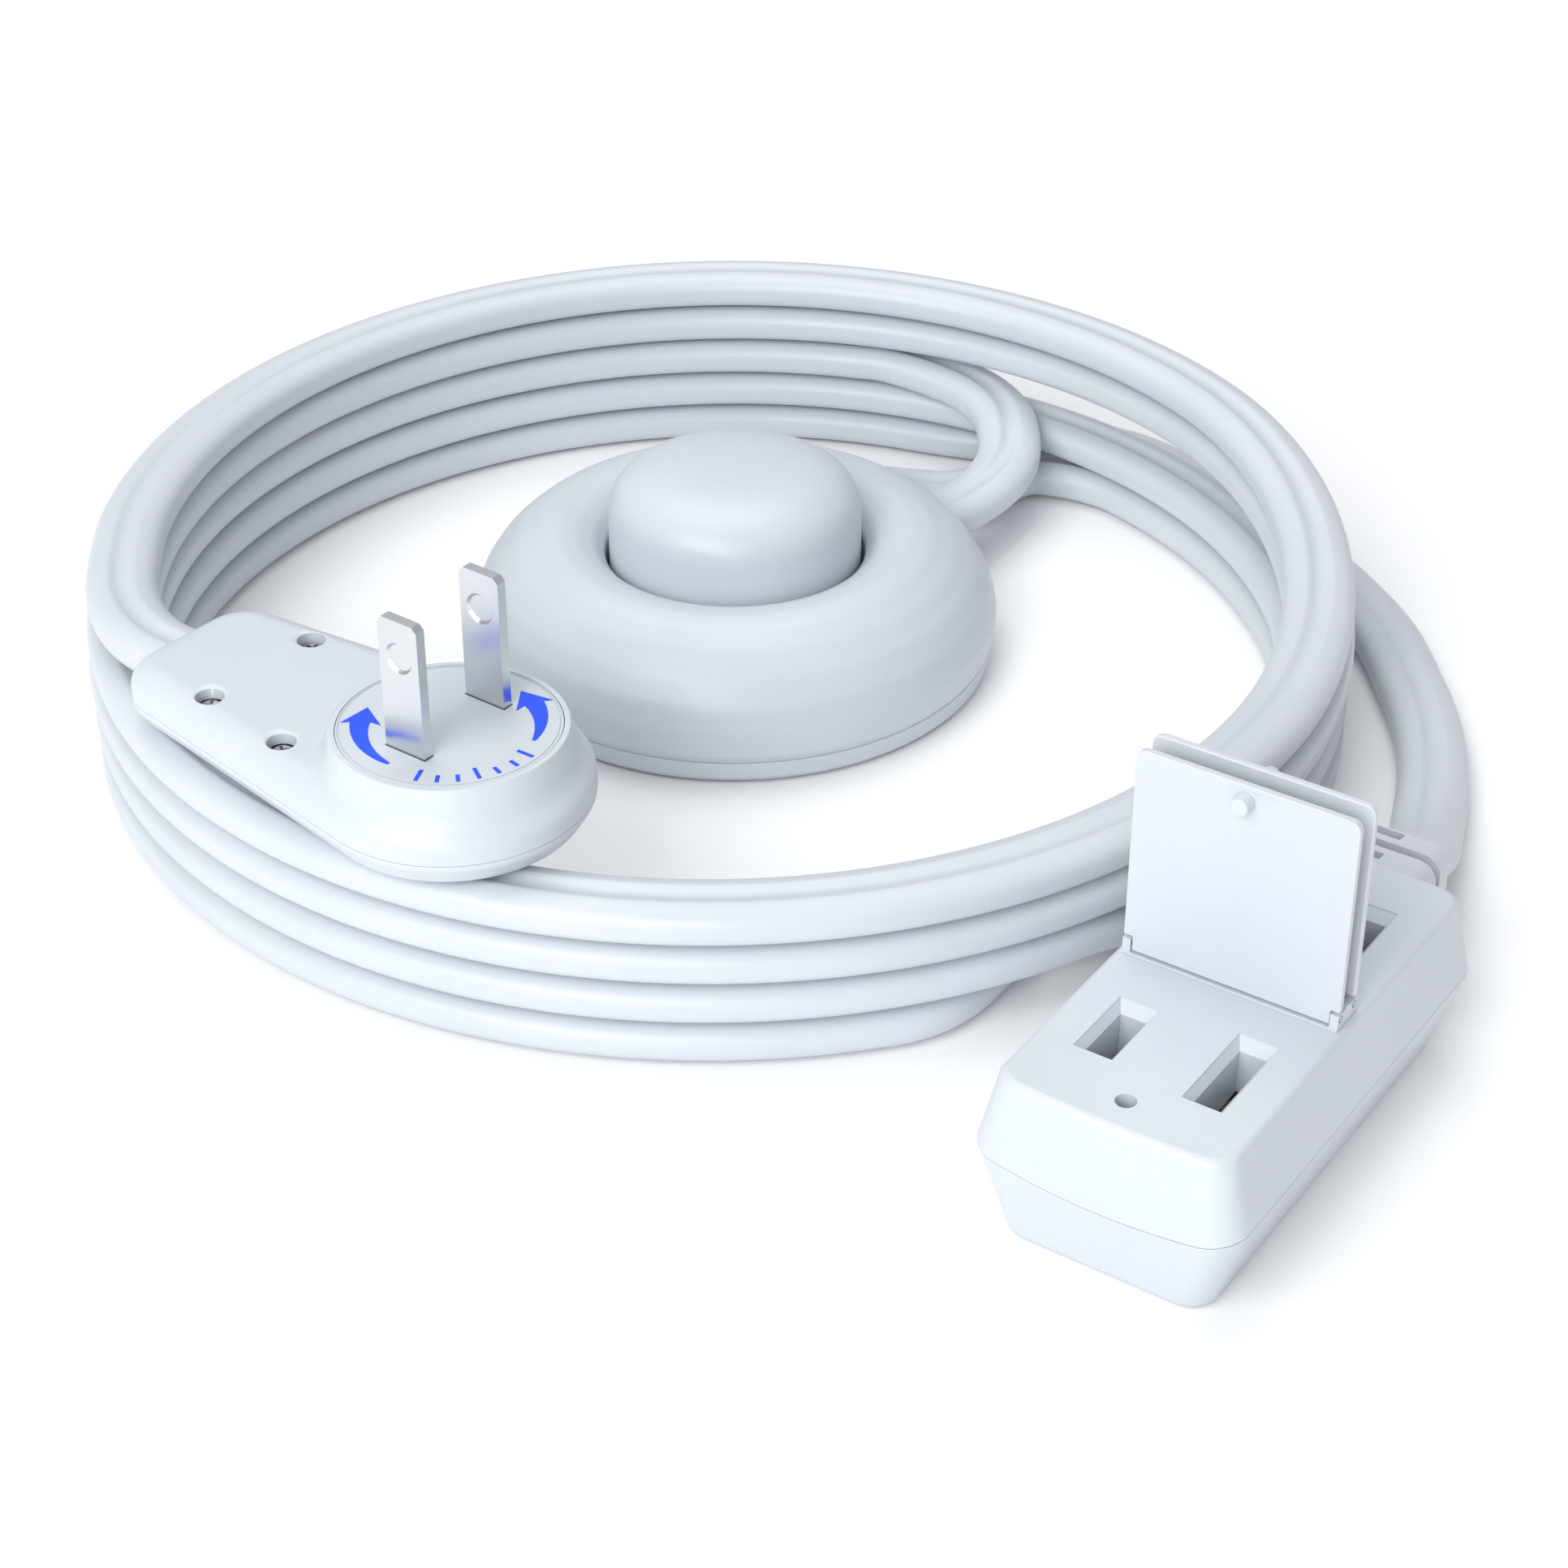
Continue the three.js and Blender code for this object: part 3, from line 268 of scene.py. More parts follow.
def combine(obj, tools, operation):
    """Cuts the tools out of obj or joins them to it, one after the other, and removes them."""
    for tool in tools:
        step = obj.modifiers.new("combine", "BOOLEAN")
        step.operation = operation
        step.solver = "EXACT"
        step.object = tool
        graph = bpy.context.evaluated_depsgraph_get()
        made = bpy.data.meshes.new_from_object(obj.evaluated_get(graph))
        obj.modifiers.clear()
        obj.data = made
        bpy.data.objects.remove(tool)
    return obj


def cut(obj, *tools):
    return combine(obj, tools, "DIFFERENCE")


def join(obj, *tools):
    return combine(obj, tools, "UNION")


def piece(obj, name, at, body, material, *nodes, bevel=0.0, crease=32):
    """Puts a piece made in local millimetres in its place, on its body and for its CAD nodes."""
    obj.name = name
    obj.data.name = name
    obj.data.transform(Matrix.Scale(MM, 4) @ at)
    if bevel:
        edge = obj.modifiers.new("edge", "BEVEL")
        edge.width = bevel * MM
        edge.segments = 2
        edge.limit_method = "ANGLE"
        edge.angle_limit = math.radians(crease)
        edge.use_clamp_overlap = True
    obj.data.shade_smooth()
    obj.data.set_sharp_from_angle(angle=math.radians(crease))
    if bevel:
        even = obj.modifiers.new("even", "WEIGHTED_NORMAL")
        even.keep_sharp = True
    obj.data.materials.clear()
    obj.data.materials.append(looks[material])
    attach(obj, body)
    if nodes:
        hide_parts(*nodes)
    return obj


# ---- Cords -------------------------------------------------------------------------------------------------

CORD_WIDTH = 8.6
CORD_THICKNESS = 5.0
LAYER = 5.1
FLOOR_LAYER_Z = 2.56
COIL_RADIUS = 73.1
SWITCH_PORTS = (40, 60)  # degrees about the switch, where each cord goes in
SWITCH_PORT_Z = 6.6
PLUG_CORD_Z = 3.2  # the cord's middle where it goes into the plug
RELIEF_START, RELIEF_END = 28.75, 38.0  # along the block, from its middle
coil_middle = middle("cord_coil")
COIL_CENTRE = Vector((coil_middle.x, coil_middle.y, 0))


def around_switch(degrees, radius, z):
    angle = math.radians(degrees)
    return Vector((radius * math.cos(angle), radius * math.sin(angle), z))


def around_coil(degrees, radius, z):
    return COIL_CENTRE + around_switch(degrees, radius, z)


def eased(value, start, end):
    """0 before start, 1 after end and a smooth step between."""
    t = min(max((value - start) / (end - start), 0), 1)
    return t * t * (3 - 2 * t)


def layer_z(layer):
    return FLOOR_LAYER_Z + LAYER * layer


def wander(degrees, phase):
    """How far a turn lies from the coil's true circle."""
    return 0.35 * math.sin(math.radians(2 * degrees) + phase)


def plug_side_path():
    """From the switch through the loop, then three turns up the stack to the plug."""
    path = [Vector(p) for p in (
        around_switch(SWITCH_PORTS[0], 33.2, SWITCH_PORT_Z), around_switch(SWITCH_PORTS[0], 37.4, 6.7),
        (31.8, 26.8, 7.3), (34.6, 29.8, 8.1), (36.8, 34.4, 9.0), (37.3, 39.6, 10.0), (36.3, 45.5, 11.0),
        (32.2, 51.4, 11.9),
    )]
    turns = []
    top_layer, turned, step = 4, 830, 3
    for travelled in range(0, turned, step):
        degrees = 180 - travelled
        layer = top_layer - eased(travelled, 150, 210) - eased(travelled, 510, 570)
        radius = COIL_RADIUS + wander(travelled, layer) - 0.12 * (layer - 3)
        turns.append(around_coil(degrees, radius, layer_z(layer)))
    lead = [Vector(p) for p in ((-72.6, -26.0, 22.98), (-70.0, -33.6, 23.3), (-66.6, -39.0, 23.7))]
    mouth = [plug_at @ Vector((x, 0, PLUG_CORD_Z)) for x in (42.6, 40.2)]
    return path + turns[::-1] + lead + mouth


def outlet_side_path():
    """From the switch under the loop, then two turns on the floor side of the stack and out to the block."""
    path = [Vector(p) for p in (
        around_switch(SWITCH_PORTS[1], 33.2, SWITCH_PORT_Z), around_switch(SWITCH_PORTS[1], 37.0, 6.5),
        (20.8, 34.8, 4.8), (24.6, 36.5, 3.2), (29.0, 37.0, 2.6), (33.0, 38.4, 2.6),
    )]
    path += [around_coil(53, 68.2, 2.6), around_coil(49, 71.4, FLOOR_LAYER_Z)]
    turned, step = 700, 3
    for travelled in range(step, turned, step):
        degrees = 46 - travelled
        layer = eased(travelled, 86, 104) - eased(travelled, 446, 464)
        aside = eased(travelled, 432, 447) - eased(travelled, 463, 480)
        radius = COIL_RADIUS - 8.9 * aside + wander(travelled, 1) * (1 - aside)
        path.append(around_coil(degrees, radius, layer_z(layer)))
    path += [around_coil(*p, FLOOR_LAYER_Z) for p in ((60, 74.9), (55, 78.4), (50, 81.4))]
    path += [around_coil(*p, 2.6) for p in ((44, 82.5), (25, 82.5), (14.6, 83.9), (6, 85.4))]
    path += [Vector(p) for p in (
        (84.85, -14.0, 2.6), (85.2, -19.0, 2.6), (85.2, -25.0, 2.6), (84.8, -30.4, 2.6), (84.0, -35.8, 2.7),
        (82.9, -41.1, 3.1), (81.2, -47.7, 4.0), (79.0, -55.8, 6.2), (76.2, -61.3, 8.8),
    )]
    path += [block_at @ Vector((0, RELIEF_END + 1.8, 10.9)), block_at @ Vector((0, RELIEF_END - 0.4, 11.0))]
    return path


def smoothed(points, step=1.6):
    """A centripetal Catmull-Rom curve through the points, as close points on it."""
    ends = [2 * points[0] - points[1], *points, 2 * points[-1] - points[-2]]
    result = []
    for i in range(1, len(ends) - 2):
        p0, p1, p2, p3 = ends[i - 1:i + 3]
        t1 = (p1 - p0).length ** 0.5
        t2 = t1 + (p2 - p1).length ** 0.5
        t3 = t2 + (p3 - p2).length ** 0.5
        count = max(1, round((p2 - p1).length / step))
        for k in range(count):
            t = t1 + (t2 - t1) * k / count
            a1 = p0 * ((t1 - t) / t1) + p1 * (t / t1)
            a2 = p1 * ((t2 - t) / (t2 - t1)) + p2 * ((t - t1) / (t2 - t1))
            a3 = p2 * ((t3 - t) / (t3 - t2)) + p3 * ((t - t2) / (t3 - t2))
            b1 = a1 * ((t2 - t) / t2) + a2 * (t / t2)
            b2 = a2 * ((t3 - t) / (t3 - t1)) + a3 * ((t - t1) / (t3 - t1))
            result.append(b1 * ((t2 - t) / (t2 - t1)) + b2 * ((t - t1) / (t2 - t1)))
    result.append(points[-1])
    return result


def cord_section():
    """Half a cord's width and thickness with round edges, and a shallow valley along both broad sides."""
    points = []
    sides = 64
    valley_depth, valley_from, valley_to = 0.19, 0.5, 1.45
    for j in range(sides):
        angle = math.tau * (j + 0.5) / sides
        c, s = math.cos(angle), math.sin(angle)
        x = CORD_WIDTH / 2 * math.copysign(abs(c) ** 0.80, c)
        y = CORD_THICKNESS / 2 * math.copysign(abs(s) ** 0.72, s)
        valley = 1 - eased(abs(x), valley_from, valley_to)
        points.append((x, y * (1 - valley_depth * valley)))
    return points


def cord_piece(name, path, *nodes):
    """The cord's section swept along a path, with its broad sides up and down."""
    section = cord_section()
    rings = []
    for i, here in enumerate(path):
        ahead = (path[min(i + 1, len(path) - 1)] - path[max(i - 1, 0)]).normalized()
        side = ahead.cross(UP).normalized()
        over = side.cross(ahead)
        rings.append([here + side * x + over * y for x, y in section])
    made = loft(name, rings)
    return piece(made, name, Matrix.Identity(4), "cord_set", "white_cord", *nodes, crease=60)


plug_side = smoothed(plug_side_path())
outlet_side = smoothed(outlet_side_path())
plug_cord = cord_piece("cord_plug_to_switch", plug_side, "cord_coil", "cord_top_turn", "cord_plug_side_lead")
outlet_cord = cord_piece("cord_switch_to_outlets", outlet_side, "cord_outlet_side_lead", "cord_outlet_lead")

# ---- Plug --------------------------------------------------------------------------------------------------

ROUND_RADIUS = 15.5
TAIL_X = 37.0
TAIL_Y = 4.6
TAIL_RADIUS = 6.0
SEAM = 3.2
DECK = 7.2
BLADE_Y = 6.35
BLADE_TIP = PLUG_TOP + 15.9
PLUG_SCREWS = [(29.2, 7.8), (29.2, -7.8), (16.3, 9.4), (16.3, -9.4)]
PLUG_WALL = 1.85
DISC_RADIUS = 12.2
DISC_FOOT = 8.2
HUB_RADIUS = 9.5
RIM_RADIUS = 13.1
FLARE_RADIUS = 15.6
DIRECTIONS = 288


def side_shares(length, away_from_boss):
    """Where points lie along an edge of the plug's outline: a long one has them closer beside the boss."""
    short, near, close_step, wide_step = 5, 0.45, 0.2, 1.2
    if length < short:
        return [0.0]
    close, wide = round(length * near / close_step), round(length * (1 - near) / wide_step)
    shares = [near * k / close for k in range(close)]
    shares += [near + (1 - near) * k / wide for k in range(wide)]
    if away_from_boss:
        return shares
    return [0.0] + [1 - share for share in reversed(shares[1:])]


def plug_ring(inset, z):
    """The plug's outline seen from above, moved in by inset, with extra points along its straight sides."""
    circles = ((0, 0, ROUND_RADIUS), (TAIL_X, TAIL_Y, TAIL_RADIUS), (TAIL_X, -TAIL_Y, TAIL_RADIUS))
    corners = []
    for j in range(DIRECTIONS):
        angle = math.tau * j / DIRECTIONS
        c, s = math.cos(angle), math.sin(angle)
        x, y, radius = max(circles, key=lambda circle: circle[0] * c + circle[1] * s + circle[2])
        corners.append((x + (radius - inset) * c, y + (radius - inset) * s))
    ring = []
    for (x0, y0), (x1, y1) in zip(corners, corners[1:] + corners[:1]):
        for t in side_shares(math.hypot(x1 - x0, y1 - y0), x1 > x0):
            ring.append((x0 + (x1 - x0) * t, y0 + (y1 - y0) * t, z))
    return ring


def between(first, second, t):
    return [tuple(a + (b - a) * t for a, b in zip(p, q)) for p, q in zip(first, second)]


def cord_mouth():
    """The cord's own outline, as a tool that cuts the way in through the plug's tail."""
    snug = 0.99
    section = [(snug * across, snug * over) for across, over in cord_section()]
    return loft("tool", [[(x, across, PLUG_CORD_Z + over) for across, over in section] for x in (38, 47)])


def plug_lower():
    outer = filleted([(4.0, 0.0), (1.6, 0.0, 1.4), (0.0, 2.6, 1.2), (0.0, SEAM)], 8)
    shell = loft("plug_lower", [plug_ring(inset, z) for inset, z in outer])
    hollow = loft("tool", [plug_ring(PLUG_WALL, 1.6), plug_ring(PLUG_WALL, SEAM + 1)])
    return cut(shell, hollow, cord_mouth())


def boss_share(reach):
    """The boss's height at a distance from its middle, as a share of its top: a rim and a flare."""
    rim_drop = 0.07
    if reach <= RIM_RADIUS:
        return 1 - rim_drop * eased(reach, RIM_RADIUS - 0.3, RIM_RADIUS)
    if reach >= FLARE_RADIUS:
        return 0
    return (1 - rim_drop) * (1 - (reach - RIM_RADIUS) / (FLARE_RADIUS - RIM_RADIUS)) ** 4


def plug_upper():
    """The upper shell before it is hollowed: a round shoulder, a flat deck, and the boss raised from both."""
    wide, high, steps = 3.4, 2.6, 14
    shoulder = [(0.0, SEAM + SEAM_GAP)]
    for k in range(steps + 1):
        angle = math.pi / 2 * k / steps
        shoulder.append((wide * (1 - math.cos(angle)), DECK - high + high * math.sin(angle)))
    rings = [plug_ring(inset, z) for inset, z in shoulder]
    deck_edge = plug_ring(3.8, DECK)
    spine = [(min(max(x - 1.5, 0.0), 34.0), 0.0, DECK) for x, y, z in deck_edge]
    rows = 84
    rings += [between(deck_edge, spine, row / rows) for row in range(rows + 1)]
    lifted = []
    for ring in rings:
        lifted.append([(x, y, z + (PLUG_TOP - z) * boss_share(math.hypot(x, y))) for x, y, z in ring])
    return loft("plug_upper", lifted, open_end=True)


def plug_upper_shell():
    shell = plug_upper()
    hollow = loft("tool", [plug_ring(PLUG_WALL, SEAM - 1), plug_ring(PLUG_WALL, 4.4), plug_ring(3.9, 5.7)])
    ring_space = bar(11.5, 4, 6.6, sides=96)
    disc_well = bar(DISC_RADIUS + SEAM_GAP, 7.9, 20, sides=128)
    hub_hole = bar(HUB_RADIUS + 0.3, 6, 9, sides=96)
    wells = [bar(1.65, 4.7, 20, x, y) for x, y in PLUG_SCREWS]
    flares = [bar(1.6, DECK - 0.25, DECK + 0.05, x, y, end_radius=2.05) for x, y in PLUG_SCREWS]
    return cut(shell, hollow, ring_space, disc_well, hub_hole, cord_mouth(), *wells, *flares)


def screw_head(radius, top, height, bottom):
    """A pan head with a cross recess, on a shank that reaches down to bottom."""
    profile = filleted([(0, bottom), (0.7, bottom, 0.2), (0.75, top - height), (radius, top - height, 0.1),
                        (radius, top, 0.45), (0, top)])
    head = lathe("screw", profile, 48)
    arm, half, floor = radius * 0.66, 0.17, top - 0.55
    return cut(head, box((-arm, -half, floor), (arm, half, top + 1)),
               box((-half, -arm, floor), (half, arm, top + 1)))


def disc():
    """The turning disc on its hub, with a groove for the retaining ring, slots for the blades and a fine
    line round its face."""
    groove_radius = 8.75
    profile = filleted([
        (0, 3.8), (HUB_RADIUS, 3.8), (HUB_RADIUS, 4.3), (groove_radius, 4.3), (groove_radius, 5.6),
        (HUB_RADIUS, 5.6), (HUB_RADIUS, DISC_FOOT), (DISC_RADIUS, DISC_FOOT), (DISC_RADIUS, PLUG_TOP, 0.15),
        (0, PLUG_TOP),
    ])
    half_length, half_width = 2.85, 0.77
    slots = [box((-half_length, y - half_width, 0), (half_length, y + half_width, 20))
             for y in (-BLADE_Y, BLADE_Y)]
    groove = cut(bar(11.95, PLUG_TOP - 0.1, 12, sides=128), bar(11.75, 10, 13, sides=128))
    return cut(lathe("disc", profile, 144), *slots, groove)


def blade(side):
    """A blade with chamfered tip and a countersunk hole. The neutral one's tail reaches the middle."""
    half, thick, chamfer = 2.7, 0.62, 0.6
    outline = [(-half, 4.1), (half, 4.1), (half, BLADE_TIP - chamfer), (half - chamfer, BLADE_TIP),
               (-half + chamfer, BLADE_TIP), (-half, BLADE_TIP - chamfer)]
    y = side * BLADE_Y
    plate = loft("blade", [[(x, y + d, z) for x, z in outline] for d in (-thick, thick)])
    flat = Matrix.Translation((0, y, BLADE_TIP - 4.4)) @ Matrix.Rotation(math.pi / 2, 4, "X")
    hole = moved(bar(1.6, -3, 3, sides=64), flat)
    countersinks = []
    for turn in (0, math.pi):
        flare = bar(1.5, 0.32, 0.82, sides=64, end_radius=2.0)
        countersinks.append(moved(flare, flat @ Matrix.Rotation(turn, 4, "X")))
    tail = box((-1.4, y - 0.6, 3.0), (1.4, y + 0.6, 4.6))
    plate = join(cut(plate, hole, *countersinks), tail)
    if side < 0:
        plate = join(plate, box((-1.4, -BLADE_Y, 3.0), (1.4, 1.2, 3.5)))
    return plate


INK_FOOT = PLUG_TOP + 0.01
INK_TOP = PLUG_TOP + 0.05


def arc_arrow(radius, start, end, name):
    """A curved arrow printed on the disc: a tapering tail along an arc and a barbed head at its end."""
    steps = 28
    bow = math.radians(end - start)
    inner, outer = [], []
    for k in range(steps + 1):
        t = k / steps
        angle = math.radians(start) + bow * t
        half = 0.18 + 0.92 * t ** 0.8
        inner.append((radius - half, angle))
        outer.append((radius + half, angle))
    sweep = math.copysign(1, bow)
    last = math.radians(end)
    head = [(radius + 2.1, last - sweep * 0.02), (radius + 0.1, last + sweep * 0.31),
            (radius - 2.3, last - sweep * 0.08)]
    outline = outer + head + inner[::-1]
    flat = [(r * math.cos(a), r * math.sin(a)) for r, a in outline]
    return loft(name, [[(x, y, z) for x, y in flat] for z in (INK_FOOT, INK_TOP)])


def tick(angle, length):
    outer, half = 11.3, 0.22
    mark = box((outer - length, -half, INK_FOOT), (outer, half, INK_TOP))
    return moved(mark, Matrix.Rotation(math.radians(angle), 4, "Z"))


def make_plug():
    """The plug's pieces. The print is drawn in the plug's own directions at rest and turns with the disc."""
    pieces = [
        piece(plug_lower(), "plug_case_lower", plug_at, "cord_set", "white_shell", "plug_lower_shell",
              bevel=0.08),
        piece(plug_upper_shell(), "plug_case_upper", plug_at, "cord_set", "white_shell", "plug_upper_shell",
              crease=40),
        piece(box((36.8, -4.6, 1.7), (40.1, 4.6, 5.0)), "plug_gland_block", plug_at, "cord_set",
              "dark_plastic", "plug_cord_gland", bevel=0.2),
    ]
    for i, (x, y) in enumerate(PLUG_SCREWS):
        spot = plug_at @ Matrix.Translation((x, y, 0)) @ Matrix.Rotation(0.6 + i, 4, "Z")
        head = screw_head(1.35, 5.95, 0.9, 1.2)
        pieces.append(piece(head, f"plug_screw_head_{i + 1}", spot, "cord_set", "steel",
                            f"plug_screw_{i + 1}"))
    pieces.append(piece(disc(), "plug_turning_disc", disc_at, "plug_disc", "grey_disc", "plug_rotating_disc",
                        crease=12))
    for side, label in ((1, "line"), (-1, "neutral")):
        pieces.append(piece(blade(side), f"plug_contact_{label}", disc_at, "plug_disc", "nickel",
                            f"plug_blade_{label}", bevel=0.12))
    marks = [arc_arrow(9.6, 92, 36, "arrow_left"), arc_arrow(9.7, 199, 244, "arrow_right")]
    first_tick, tick_step, long_tick, short_tick = 115, 11.5, 2.1, 1.3
    for i in range(7):
        marks.append(tick(first_tick + i * tick_step, short_tick if i % 3 else long_tick))
    for i, mark in enumerate(marks):
        pieces.append(piece(mark, f"plug_print_{i + 1}", plug_at, "plug_disc", "ink"))
    return pieces


# ---- Foot switch -------------------------------------------------------------------------------------------

SWITCH_SEAM = 3.2


def switch_housing():
    profile = filleted([
        (32.75, SWITCH_SEAM + SEAM_GAP), (33.3, 4.3, 1.6), (33.45, 7.4, 3.5), (32.5, 10.6, 6),
        (30.6, 13.5, 7), (28.0, 15.9, 7), (25.0, 17.5, 6), (22.4, 18.0, 5), (20.0, 17.6, 5),
        (18.0, 16.6, 4), (16.5, 14.9, 1.5), (16.5, 8.0), (18.0, 8.0), (18.0, 14.2), (20.4, 15.7),
        (22.4, 16.1), (24.6, 15.7), (27.0, 14.3), (29.3, 12.0), (30.9, 9.7), (31.5, 7.2),
        (31.3, SWITCH_SEAM + SEAM_GAP),
    ])
    shell = lathe("switch_housing", profile, 160)
    ports = []
    for degrees in SWITCH_PORTS:
        port = box((28, -5.0, 3.6), (38, 5.0, 9.6))
        ports.append(moved(port, Matrix.Rotation(math.radians(degrees), 4, "Z")))
    return cut(shell, *ports)


def switch_base():
    profile = filleted([
        (0, 1.5), (28.3, 1.5), (28.3, 0.3), (32.0, 0.3, 0.3), (32.8, 1.1, 0.8), (32.8, SWITCH_SEAM, 0.15),
        (0, SWITCH_SEAM),
    ])
    return lathe("switch_base", profile, 160)


def foot_button():
    """The button: a collar under the housing, a straight side and a dome between a circle and a square."""
    radius, shoulder, top, power = 16.0, 19.0, 26.8, 3.0
    collar_foot, collar_top, collar_radius = 6.5, 7.7, radius + 1.5
    steps = 24
    dome = []
    for k in range(steps + 1):
        share = math.sin(math.radians(90 * k / steps)) ** (2 / power)
        dome.append((radius * max(1 - share ** power, 0) ** (1 / power), shoulder + (top - shoulder) * share))
    inside = [(0, 24.6), (8.0, 24.2), (11.4, 23.0), (14.2, 20.0)]
    profile = [(14.4, collar_foot), (collar_radius, collar_foot), (collar_radius, collar_top),
               (radius, collar_top), *dome, *inside]
    return lathe("button", profile, 128)


def grommet(degrees):
    """The sleeve in a port, with a passage for each of the cord's two conductors."""
    sleeve = box((28.7, -4.8, 3.8), (33.7, 4.8, 9.4))
    passages = [along_x(bar(1.2, -8, 8, sides=24), 31, y, SWITCH_PORT_Z) for y in (-2.1, 2.1)]
    return moved(cut(sleeve, *passages), Matrix.Rotation(math.radians(degrees), 4, "Z"))


def make_switch():
    piece(switch_housing(), "switch_cover", switch_at, "cord_set", "white_shell", "switch_housing", bevel=0.1)
    piece(switch_base(), "switch_foot", switch_at, "cord_set", "white_shell", "switch_base")
    piece(foot_button(), "switch_cap", switch_at, "button", "white_shell", "switch_button", crease=50)
    for i, degrees in enumerate(SWITCH_PORTS):
        piece(grommet(degrees), f"switch_cord_sleeve_{i + 1}", switch_at, "cord_set", "white_cord",
              f"switch_grommet_{i + 1}", bevel=0.3)


# ---- Outlet block ------------------------------------------------------------------------------------------

TOP = (13.0, 26.9)  # half width and half length
EQUATOR = (14.8, 28.4)
FOOT = (11.8, 26.8)
END_BOW = 0.5
END_DIP = 1.3
BLOCK_SEAM = 10.8
BLOCK_TOP = 19.5
SLOT_Y = 13.6
SLOT_HALF_WIDTH = 1.45
LATCH_Y = 23.2
COVER_HALF_WIDTH = 12.1
FLAP_AXIS_Y = 1.5
FLAP_AXIS_Z = 20.75
CONTACT_TOP = 13.0


def block_ring(half_width, half_length, radius, z, bow=0.0, dip=0.0):
    """A rectangle with round corners and slightly bowed ends. dip lowers the middle of both ends."""
    ring = []
    steps, flat = 8, 14
    for sx, sy, start in ((1, 1, 0), (-1, 1, 90), (-1, -1, 180), (1, -1, 270)):
        for k in range(steps + 1):
            angle = math.radians(start + 90 * k / steps)
            ring.append((sx * (half_width - radius) + radius * math.cos(angle),
                         sy * (half_length - radius) + radius * math.sin(angle)))
        corner = ring[-1]
        if start in (0, 180):
            target = (-sx * (half_width - radius), sy * half_length)
        else:
            target = (sx * half_width, -sy * (half_length - radius))
        for k in range(1, flat):
            t = k / flat
            ring.append((corner[0] + (target[0] - corner[0]) * t, corner[1] + (target[1] - corner[1]) * t))
    shaped = []
    for x, y in ring:
        across = 1 - (x / half_width) ** 2
        at_end = eased(abs(y), half_length - radius - 0.5, half_length - 0.1)
        shaped.append((x, y + math.copysign(bow * across * at_end, y), z - dip * across * at_end))
    return shaped


def seam_hollow(z):
    """The inside of both shells where they meet."""
    return block_ring(12.75, 26.5, 2.4, z)


def neck_opening():
    """The way through the end wall for the strain relief's neck."""
    return box((-5.3, 24, 7.3), (5.3, 31, 13.9))


def block_lower():
    profile = [(-2.0, 0.0), (-1.0, 0.0), (-0.55, 0.12), (-0.2, 0.45), (0.0, 1.0)]
    rings = [block_ring(FOOT[0] + d, FOOT[1] + d, 3.0, z) for d, z in profile]
    steps = 8
    for k in range(1, steps + 1):
        t = k / steps
        rings.append(block_ring(
            FOOT[0] + (EQUATOR[0] - FOOT[0]) * t, FOOT[1] + (EQUATOR[1] - FOOT[1]) * t, 3.0 + 0.6 * t,
            1.0 + (BLOCK_SEAM - 1.0) * t, bow=END_BOW * t, dip=END_DIP * t ** 3,
        ))
    shell = loft("block_lower", rings)
    hollow = loft("tool", [block_ring(10.0, 24.8, 2.0, 1.8), seam_hollow(BLOCK_SEAM + 1)])
    screw_holes = [bar(2.3, -1, 3.0, 0, y) for y in (16, -16)]
    return cut(shell, hollow, neck_opening(), *screw_holes)


def slot_mouth(x, y, length):
    """The slanted mouth of a slot, wider along the slot than across it."""
    grow_at = ((0, BLOCK_TOP - 1.15), (1.25, BLOCK_TOP - 0.15), (1.4, BLOCK_TOP + 1))
    corners = ((1, 1), (-1, 1), (-1, -1), (1, -1))
    return loft("tool", [[(x + sx * (SLOT_HALF_WIDTH + 0.6 * grow), y + sy * (length / 2 + grow), z)
                          for sx, sy in corners] for grow, z in grow_at])


def block_upper():
    """The upper shell: sides leaning in to a round edge, a deck with four slots and two latch holes."""
    rings = []
    edge, seam_edge = 0.8, 0.12
    low = BLOCK_SEAM + SEAM_GAP
    for d, z in ((-seam_edge, 0.0), (0.0, seam_edge)):
        rings.append(block_ring(EQUATOR[0] + d, EQUATOR[1] + d, 3.6, low + z, bow=END_BOW, dip=END_DIP))
    steps = 8
    for k in range(1, steps + 1):
        t = k / steps
        rings.append(block_ring(
            EQUATOR[0] + (TOP[0] - EQUATOR[0]) * t, EQUATOR[1] + (TOP[1] - EQUATOR[1]) * t, 3.6 - 1.0 * t,
            low + seam_edge + (BLOCK_TOP - edge - seam_edge - low) * t, bow=END_BOW + 0.1 * t,
            dip=END_DIP * (1 - t) ** 2,
        ))
    for angle in (22.5, 45, 67.5, 90):
        drop = edge * (1 - math.cos(math.radians(angle)))
        rise = edge * math.sin(math.radians(angle))
        height = BLOCK_TOP - edge + rise
        rings.append(block_ring(TOP[0] - drop, TOP[1] - drop, 2.5 - drop * 0.4, height, bow=END_BOW + 0.1))
    shell = loft("block_upper", rings)
    hollow = loft("tool", [
        seam_hollow(BLOCK_SEAM - 3), seam_hollow(BLOCK_SEAM), block_ring(12.0, 25.5, 2.0, CONTACT_TOP + 0.3),
    ])
    tools = [hollow, neck_opening()]
    for end in (-1, 1):
        tools.append(bar(1.1, 15, 30, 0, end * LATCH_Y))
        for x, length in ((-BLADE_Y, 7.1), (BLADE_Y, 9.6)):
            y, half = end * SLOT_Y, length / 2
            tools.append(box((x - SLOT_HALF_WIDTH, y - half, 5), (x + SLOT_HALF_WIDTH, y + half, 30)))
            tools.append(slot_mouth(x, y, length))
    return cut(shell, *tools)


